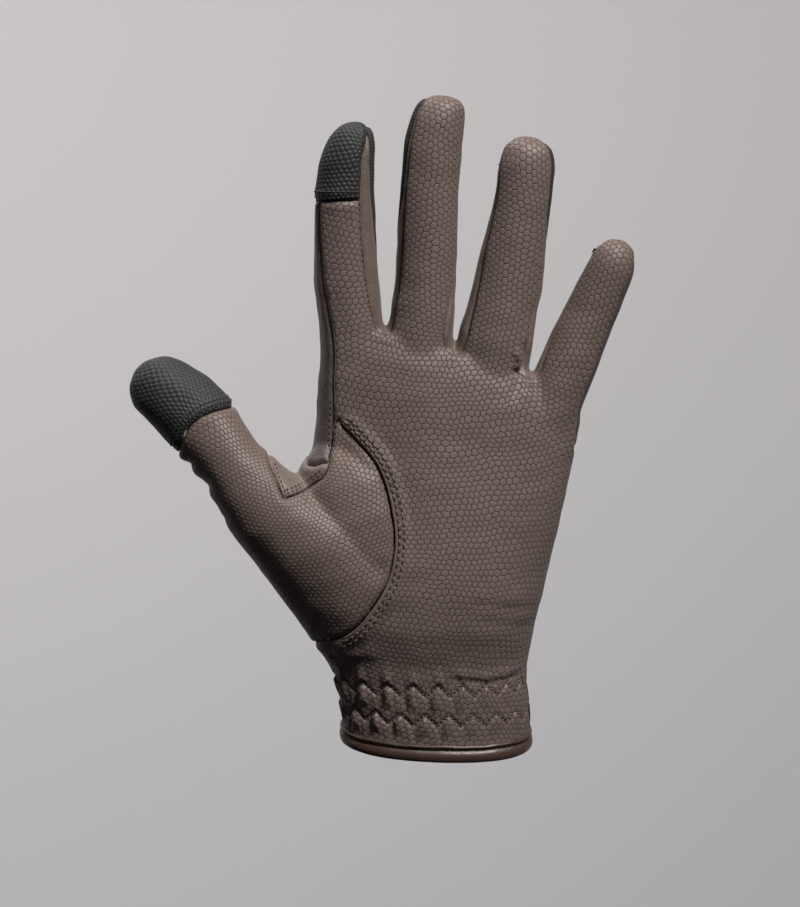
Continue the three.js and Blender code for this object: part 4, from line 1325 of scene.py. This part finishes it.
@dataclass
class StitchRun:
    """Threads sewn along lines on the glove, all copies of one stitch."""

    name: str
    material: bpy.types.Material
    ground: BVHTree
    length: float = 1.7
    pitch: float = 2.5
    radius: float = 0.22
    sink: float = 0.05
    holes: bpy.types.Material | None = None

    def _stitch(self) -> tuple[Points, list[tuple[int, ...]]]:
        """Models one stitch and returns its vertices and faces."""
        bpy.ops.object.select_all(action="DESELECT")
        bpy.ops.mesh.primitive_uv_sphere_add(segments=8, ring_count=6, radius=1.0)
        model = bpy.context.object
        size = (self.radius * MM, self.radius * MM, self.length / 2 * MM)
        edit(model, lambda: bpy.ops.transform.resize(value=size))
        points = read_points(model)
        blunt = np.abs(points[:, 2] / (self.length / 2)) ** 0.75
        points[:, 2] = np.sign(points[:, 2]) * blunt * self.length / 2
        faces = [tuple(face.vertices) for face in model.data.polygons]
        bpy.data.objects.remove(model)
        return points, faces

    def _drop(self, place: Points) -> tuple[Vector, Vector] | None:
        """Returns the nearest place and normal on the leather."""
        spot, normal, _, _ = self.ground.find_nearest(Vector(place * MM))
        return (spot, normal) if spot is not None else None

    def _copies(self, model: Points, line: Points) -> list[tuple[Points, int]]:
        """Lays stitches along one line.

        Args:
            model: vertices of one stitch.
            line: corners of the line, three columns, on or near the leather.

        Returns:
            The vertices of each stitch and needle hole, with the number of its material.
        """
        reach = reach_along(line)
        copies = []
        for middle in np.arange(self.pitch / 2, reach[-1], self.pitch):
            ends = [np.array([np.interp(middle + shift, reach, column) for column in line.T])
                    for shift in (-self.length / 2, 0, self.length / 2)]
            dropped = [self._drop(end) for end in ends]
            if any(spot is None for spot in dropped):
                continue
            along = (dropped[2][0] - dropped[0][0]).normalized()
            normal = dropped[1][1]
            across = normal.cross(along).normalized()
            turn = np.array([across, along.cross(across), along]).T
            centre = np.array(dropped[1][0]) / MM + np.array(normal) * (self.radius * 0.4 - self.sink)
            copies.append((model @ turn.T + centre, 0))
            if self.holes:
                hole = model / [self.radius, self.radius, self.length / 2] * [0.42, 0.10, 0.42]
                edge = np.array(dropped[2][0]) / MM + turn[:, 2] * (self.pitch - self.length) / 2
                copies.append((hole @ turn.T + edge, 1))
        return copies

    def build(self, lines: Sequence[Points]) -> bpy.types.Object:
        """Sews the lines.

        Args:
            lines: corners of each line, three columns, on or near the leather.

        Returns:
            One mesh object with every stitch.
        """
        model, model_faces = self._stitch()
        points, faces, slots, count = [], [], [], 0
        for line in lines:
            for copy, slot in self._copies(model, line):
                faces += [tuple(count + i for i in face) for face in model_faces]
                slots += [slot] * len(model_faces)
                points.append(copy)
                count += len(copy)
        mesh = bpy.data.meshes.new(self.name)
        mesh.from_pydata((np.vstack(points) * MM).tolist(), [], faces)
        mesh.polygons.foreach_set("material_index", slots)
        piece = new_object(self.name, mesh)
        mesh.materials.append(self.material)
        if self.holes:
            mesh.materials.append(self.holes)
        shade_smooth(piece)
        hand_over(piece, "back_fabric")
        return piece


@dataclass
class SeamLip:
    """The turned edge of a sewn panel: a low smooth roll that runs along a seam."""

    name: str
    material: bpy.types.Material
    ground: BVHTree
    width: float = 0.52
    height: float = 0.24

    def build(self, line: Points) -> bpy.types.Object:
        """Lays the roll.

        Args:
            line: corners of the line that it follows, three columns, on or near the leather.

        Returns:
            The roll.
        """
        reach = reach_along(line)
        count = max(8, int(reach[-1] / 0.5))
        stops = np.linspace(0, reach[-1], count + 1)
        spine = np.stack([np.interp(stops, reach, column) for column in line.T], axis=1)
        spots = [self.ground.find_nearest(Vector(place * MM)) for place in spine]
        middle = np.array([spot[0][:] for spot in spots]) / MM
        normal = np.array([spot[1][:] for spot in spots])
        for _ in range(3):
            middle[1:-1] = (middle[:-2] + 2 * middle[1:-1] + middle[2:]) / 4
            normal[1:-1] = (normal[:-2] + 2 * normal[1:-1] + normal[2:]) / 4
        along = np.gradient(middle, axis=0)
        across = np.cross(normal, along)
        across /= np.linalg.norm(across, axis=1, keepdims=True)

        def place(u: np.ndarray, v: np.ndarray) -> Points:
            """Returns points on the roll for shares along it and round it."""
            at = np.rint(u * count).astype(int)
            angle = v * 2 * math.pi
            taper = np.clip(np.minimum(u, 1 - u) * reach[-1] / 1.5, 0.05, 1) ** 0.5
            aside = (np.cos(angle) * self.width * taper)[:, None] * across[at]
            up = (np.sin(angle) * self.height * taper)[:, None] * normal[at]
            return middle[at] + aside + up
        piece = wrapped_sheet(self.name, count, 10, place)
        edit(piece, lambda: bpy.ops.mesh.remove_doubles(threshold=1e-6),
             lambda: bpy.ops.mesh.fill_holes(sides=0),
             lambda: bpy.ops.mesh.normals_make_consistent(inside=False))
        piece.data.materials.append(self.material)
        shade_smooth(piece)
        hand_over(piece, "smooth_leather")
        return piece


class Needlework:
    """Finds where the glove's rows of stitches run and sews them."""

    def __init__(self, panels: dict[Panel, bpy.types.Object], binding: bpy.types.Object) -> None:
        """Reads the finished leather and the binding that the threads lie on."""
        self.trees = {panel: self._tree(piece) for panel, piece in panels.items()}
        self.binding = self._tree(binding)
        self.dark, self.black = DARK_THREAD.material(), BLACK_THREAD.material()
        self.pit, self.edge, self.side = NEEDLE_HOLE.material(), EDGE.material(), SIDE_THREAD.material()

    @staticmethod
    def _tree(piece: bpy.types.Object) -> BVHTree:
        """Returns a search tree of a piece's outer faces."""
        mesh = piece.data
        faces = [tuple(face.vertices) for face in mesh.polygons if face.material_index == 0]
        return BVHTree.FromPolygons([vert.co[:] for vert in mesh.vertices], faces)

    def _front(self, panel: Panel, line: Points) -> Points:
        """Drops a line drawn across and up on the palm side of a panel."""
        found = []
        for across, up in line:
            before = Vector((across * MM, -0.2, up * MM))
            spot, _, _, _ = self.trees[panel].ray_cast(before, Vector((0, 1, 0)))
            if spot is not None:
                found.append(np.array(spot) / MM)
        return np.array(found)

    @staticmethod
    def _beside(line: Points, gap: float) -> Points:
        """Returns a line moved to its left by a gap."""
        way = np.gradient(line, axis=0)
        way /= np.linalg.norm(way, axis=1, keepdims=True)
        return line + gap * np.stack([-way[:, 1], way[:, 0]], axis=1)

    @staticmethod
    def _seam_line(strip: Strip, shift: float, start: float, end: float) -> Points:
        """Returns a line beside a strip's front seam.

        Args:
            strip: the strip.
            shift: millimetres round the finger from the seam, positive onto the strip.
            start: share of the finger's length where the line starts.
            end: share where it ends.
        """
        table = np.array(strip.rows)
        at = np.linspace(start, end, 60)
        angle = np.interp(at, table[:, 0], table[:, 1]) + math.degrees(shift / (strip.finger.width / 2))
        return strip.finger.surface(at, np.radians(angle) * strip.side.value)

    @staticmethod
    def _zigzag(relief: Relief, row: int) -> Points:
        """Returns the zigzag of an elastic's stitches round the cuff."""
        angle = np.linspace(-math.pi, math.pi, 600)
        level = np.full(len(angle), relief.rows[row])
        for _ in range(3):
            level = relief.zigzag(row, TRUNK.girth(TRUNK.surface(level, angle)))
        return TRUNK.surface(level, angle)

    def _sew_thumb_seam(self) -> None:
        """Sews the double row along the thumb's curved seam, with its turned edge."""
        palm = self.trees[Panel.PALM]
        rows = [self._front(Panel.PALM, self._beside(THENAR_SEAM[2:-6], gap)) for gap in (1.5, 3.1)]
        StitchRun("thumb_seam_stitches", self.dark, palm, 1.5, 2.5, 0.30, 0.06, self.pit).build(rows)
        edge = self._front(Panel.PALM, self._beside(THENAR_SEAM[2:-7], 0.5))
        SeamLip("thumb_seam_lip", self.edge, palm).build(edge)

    def _sew_gusset(self) -> None:
        """Sews the rows along the gusset's two seams, with their turned edges."""
        ground = self.trees[Panel.GUSSET]
        inner = smooth_line([GUSSET_CORNER, (-44.0, 83.6), GUSSET_INNER])
        thumb = smooth_line([GUSSET_CORNER, GUSSET_THUMB])
        lines = [self._front(Panel.GUSSET, self._beside(line, gap))
                 for line, gap in ((inner, 0.9), (inner, 2.2), (thumb, -0.9))]
        lines = [line for line in lines if len(line) > 3]
        StitchRun("gusset_stitches", self.dark, ground, 1.1, 1.9, 0.19, 0.05, self.pit).build(lines)
        for i, (line, gap) in enumerate(((inner, 0.45), (thumb, -0.4))):
            edge = self._front(Panel.GUSSET, self._beside(line, gap))
            SeamLip(f"gusset_lip_{i}", self.edge, ground, 0.45, 0.30).build(edge)

    def _sew_tips(self) -> None:
        """Sews the double rows along the edges of the two touch patches."""
        def thumb_edge(angle: np.ndarray, gap: float) -> np.ndarray:
            """Returns shares of the thumb's length at a gap past its patch's bowed edge."""
            return (THUMB_TIP_EDGE + gap - THUMB_TIP_BOW * np.sin(angle) ** 2) / THUMB.length

        def index_edge(angle: np.ndarray, gap: float) -> np.ndarray:
            """Returns shares of the index finger's length at a gap past its patch's edge."""
            return np.full(len(angle), INDEX_TIP_EDGE + gap / INDEX.length)

        tips = (("thumb_tip_stitches", Panel.THUMB_TIP, THUMB, thumb_edge, -125, 110),
                ("index_tip_stitches", Panel.INDEX_TIP, INDEX, index_edge, -82, 30))
        for name, panel, tube, edge, start, end in tips:
            angle = np.radians(np.linspace(start, end, 40))
            lines = [tube.surface(edge(angle, gap), angle) for gap in (1.5, 2.9)]
            StitchRun(name, self.black, self.trees[panel], 1.0, 1.5, 0.24, 0.0, self.pit).build(lines)

    def _sew_fingers(self) -> None:
        """Sews the rows beside the fingers' seams, with the index side strip's turned edge."""
        palm = self.trees[Panel.PALM]
        side = [self._seam_line(INDEX_OUTER, 1.0, -0.18, 0.0)]
        StitchRun("index_side_stitches", self.side, self.trees[Panel.INDEX_SIDE], 1.2, 2.1, 0.22, 0.05,
                  self.pit).build(side)
        edge = self._seam_line(INDEX_OUTER, -0.45, -0.02, 0.69)
        SeamLip("index_side_lip", self.edge, palm, 0.4, 0.24).build(edge)
        rows = (
            ("little_side_stitches", 1.1, 0.17, [(LITTLE_OUTER, -1.1, 0.02, 0.93)]),
            ("middle_side_stitches", 1.1, 0.17, [(MIDDLE_INNER, -1.0, 0.18, 0.36)]),
            ("finger_seam_stitches", 1.0, 0.15,
             [(INDEX_INNER, 1.0, 0.33, 0.93), (RING_INNER, -0.9, 0.52, 0.93)]),
        )
        for name, length, radius, seams in rows:
            lines = [self._seam_line(*seam) for seam in seams]
            StitchRun(name, self.dark, palm, length, 1.9, radius).build(lines)
        foot = [self._seam_line(INDEX_OUTER, -0.9, -0.18, -0.075)]
        StitchRun("index_foot_stitches", self.side, self.trees[Panel.THUMB], 1.2, 2.1, 0.2, 0.05,
                  self.pit).build(foot)
        dashes = self._front(Panel.PALM, smooth_line([(31.4, 159.6), (34.4, 157.0), (36.4, 155.2)]))
        StitchRun("ring_rein_stitches", self.black, palm, 0.95, 1.5, 0.24).build([dashes])

    def _sew_binding(self) -> None:
        """Sews the row that lies in the groove of the hem's binding."""
        angle = np.linspace(-math.pi, math.pi, 400)
        groove = TRUNK.surface(np.full(len(angle), 1.52), angle, 0.62)
        StitchRun("binding_stitches", self.dark, self.binding, 1.25, 2.0, 0.17, -0.05,
                  self.pit).build([groove])

    def _sew_elastics(self) -> None:
        """Sews the zigzags of the cuff's elastics, on the palm and on the back."""
        relief = Relief()
        for i in range(len(relief.rows)):
            line = self._zigzag(relief, i)
            front = line[:, 1] < side_line(line)
            parts = ((Panel.PALM, self.dark, line[front]), (Panel.BACK, self.black, line[~front]))
            for panel, thread, part in parts:
                breaks = np.where(np.linalg.norm(np.diff(part, axis=0), axis=1) > 4)[0] + 1
                runs = [run for run in np.split(part, breaks) if len(run) > 3]
                name = f"elastic_stitches_{i}_{panel.name.lower()}"
                StitchRun(name, thread, self.trees[panel], 1.0, 1.5, 0.21, 0.0, self.pit).build(runs)

    def sew(self) -> None:
        """Sews every visible row of stitches."""
        self._sew_thumb_seam()
        self._sew_gusset()
        self._sew_tips()
        self._sew_fingers()
        self._sew_binding()
        self._sew_elastics()


# ---------------------------------------------------------------------------------------- the studio

@dataclass(frozen=True)
class Studio:
    """Camera, lights, floor and backdrop of the product picture."""

    scale: float = 0.333          # millimetres a pixel at the glove
    wrist: tuple[float, float] = (437.0, 741.0)   # where the origin falls in the picture
    size: tuple[int, int] = (800, 907)
    elevation: float = 6.0
    distance: float = 1300.0

    def camera(self) -> None:
        """Adds the camera at the photograph's angle."""
        tilt = math.radians(self.elevation)
        across = (self.size[0] / 2 - self.wrist[0]) * self.scale
        up = (self.wrist[1] - self.size[1] / 2) * self.scale
        target = Vector((across, -up * math.sin(tilt), up * math.cos(tilt)))
        way = Vector((0, -math.cos(tilt), math.sin(tilt)))
        data = bpy.data.cameras.new("product_camera")
        data.sensor_fit = "HORIZONTAL"
        data.sensor_width = 36.0
        data.lens = 36.0 * self.distance / (self.size[0] * self.scale)
        data.clip_end = 20.0
        camera = new_object("product_camera", data)
        camera.location = (target + way * self.distance) * MM
        camera.rotation_euler = (math.pi / 2 - tilt, 0, 0)
        bpy.context.scene.camera = camera

    @staticmethod
    def _area(name: str, place: tuple[float, float, float], goal: tuple[float, float, float], size: float,
              power: float, colour: tuple[float, float, float]) -> None:
        """Adds one soft light aimed at a goal."""
        data = bpy.data.lights.new(name, "AREA")
        data.shape, data.size, data.energy, data.color = "DISK", size, power, colour
        light = new_object(name, data)
        light.location = place
        light.rotation_euler = (Vector(goal) - Vector(place)).to_track_quat("-Z", "Y").to_euler()

    def lights(self) -> None:
        """Adds the key from the upper right, a weak fill and the backdrop's light."""
        self._area("key_light", (0.40, -0.62, 1.05), (0, 0, 0.10), 0.34, 19.5, (1.0, 0.98, 0.95))
        self._area("fill_light", (0.30, -1.6, 0.60), (0, 0, 0.10), 0.5, 1.0, (1.0, 0.98, 0.96))
        self._area("backdrop_light", (-0.75, 0.35, 1.9), (-0.2, 1.6, 0.3), 1.0, 30.0, (1.0, 0.985, 0.975))
        world = bpy.data.worlds.new("studio")
        world.use_nodes = True
        world.node_tree.nodes["Background"].inputs[0].default_value = (1.0, 0.98, 0.98, 1.0)
        world.node_tree.nodes["Background"].inputs[1].default_value = 0.02
        bpy.context.scene.world = world
        bpy.context.scene.view_settings.view_transform = "Standard"

    @staticmethod
    def sweep() -> None:
        """Adds the pale floor that curves up into the backdrop."""
        level, start, level_run, radius = -420, 500, 300, 800

        def place(u: np.ndarray, v: np.ndarray) -> Points:
            """Returns points on the paper for shares across and along it."""
            across = (u - 0.5) * 8000
            run = v * 4200
            arc = radius * math.pi / 2
            bend = np.clip((run - level_run) / radius, 0, math.pi / 2)
            depth = start + np.minimum(run, level_run) + radius * np.sin(bend)
            up = level + radius * (1 - np.cos(bend)) + np.clip(run - level_run - arc, 0, None)
            return np.stack([across, depth, up], axis=1)
        floor = wrapped_sheet("backdrop_sweep", 8, 80, place)
        shade_smooth(floor)
        shade = Shade("backdrop_paper")
        spot = shade.place()
        across, _, up = shade.split(spot)
        # Painted light falloff and shade: the paper's colour is lighter at the top left and darker and cooler
        # lower down and to the right.
        drop = ((0.27 - up) * 1.47).math("MAXIMUM", 0.0).math("POWER", 1.35)
        painted_shade = drop * 0.62 + (across + 0.3) * 0.22 + (shade.noise(spot, 0.8, 2.0) - 0.5) * 0.05
        colour = shade.blend(painted_shade, tone(222, 219, 219), tone(148, 150, 158))
        floor.data.materials.append(shade.finish(colour, 0.9, shade.noise(spot, 900.0, 2.0), 0.02 * MM))


def panel_finishes() -> dict[Panel, tuple[bpy.types.Material, str]]:
    """Returns the outer material and the slot name of each panel."""
    grain, thumb, touch, smooth, side, back = (
        kind.material() for kind in (GRAIN, THUMB_GRAIN, TOUCH, SMOOTH, SIDE, BACK))
    return {
        Panel.THUMB_TIP: (touch, "touch_leather"),
        Panel.INDEX_TIP: (touch, "touch_leather"),
        Panel.INDEX_MIDDLE: (smooth, "smooth_leather"),
        Panel.MIDDLE_RING: (smooth, "smooth_leather"),
        Panel.RING_LITTLE: (smooth, "smooth_leather"),
        Panel.GUSSET: (smooth, "smooth_leather"),
        Panel.THUMB: (thumb, "grain_leather"),
        Panel.INDEX_SIDE: (side, "smooth_leather"),
        Panel.LITTLE_SIDE: (side, "smooth_leather"),
        Panel.BACK: (back, "back_fabric"),
        Panel.PALM: (grain, "grain_leather"),
    }


def main() -> None:
    """Builds the glove and its studio."""
    logging.basicConfig(level=logging.INFO, format="%(name)s %(message)s")
    studio = Studio()
    studio.camera()
    skin = HandForm().build()
    LOG.info("hand form: %d faces", len(skin.data.polygons))
    sheets = Cutter(skin).panels()
    lining = LINING.material()
    finishes = panel_finishes()
    panels = {}
    for panel, sheet in sheets.items():
        material, slot = finishes[panel]
        panels[panel] = LeatherPanel(panel, sheet, material, lining, slot).build()
    binding = HemBinding(BINDING.material()).build()
    Needlework(panels, binding).sew()
    studio.sweep()
    studio.lights()


if __name__ == "__main__":
    main()
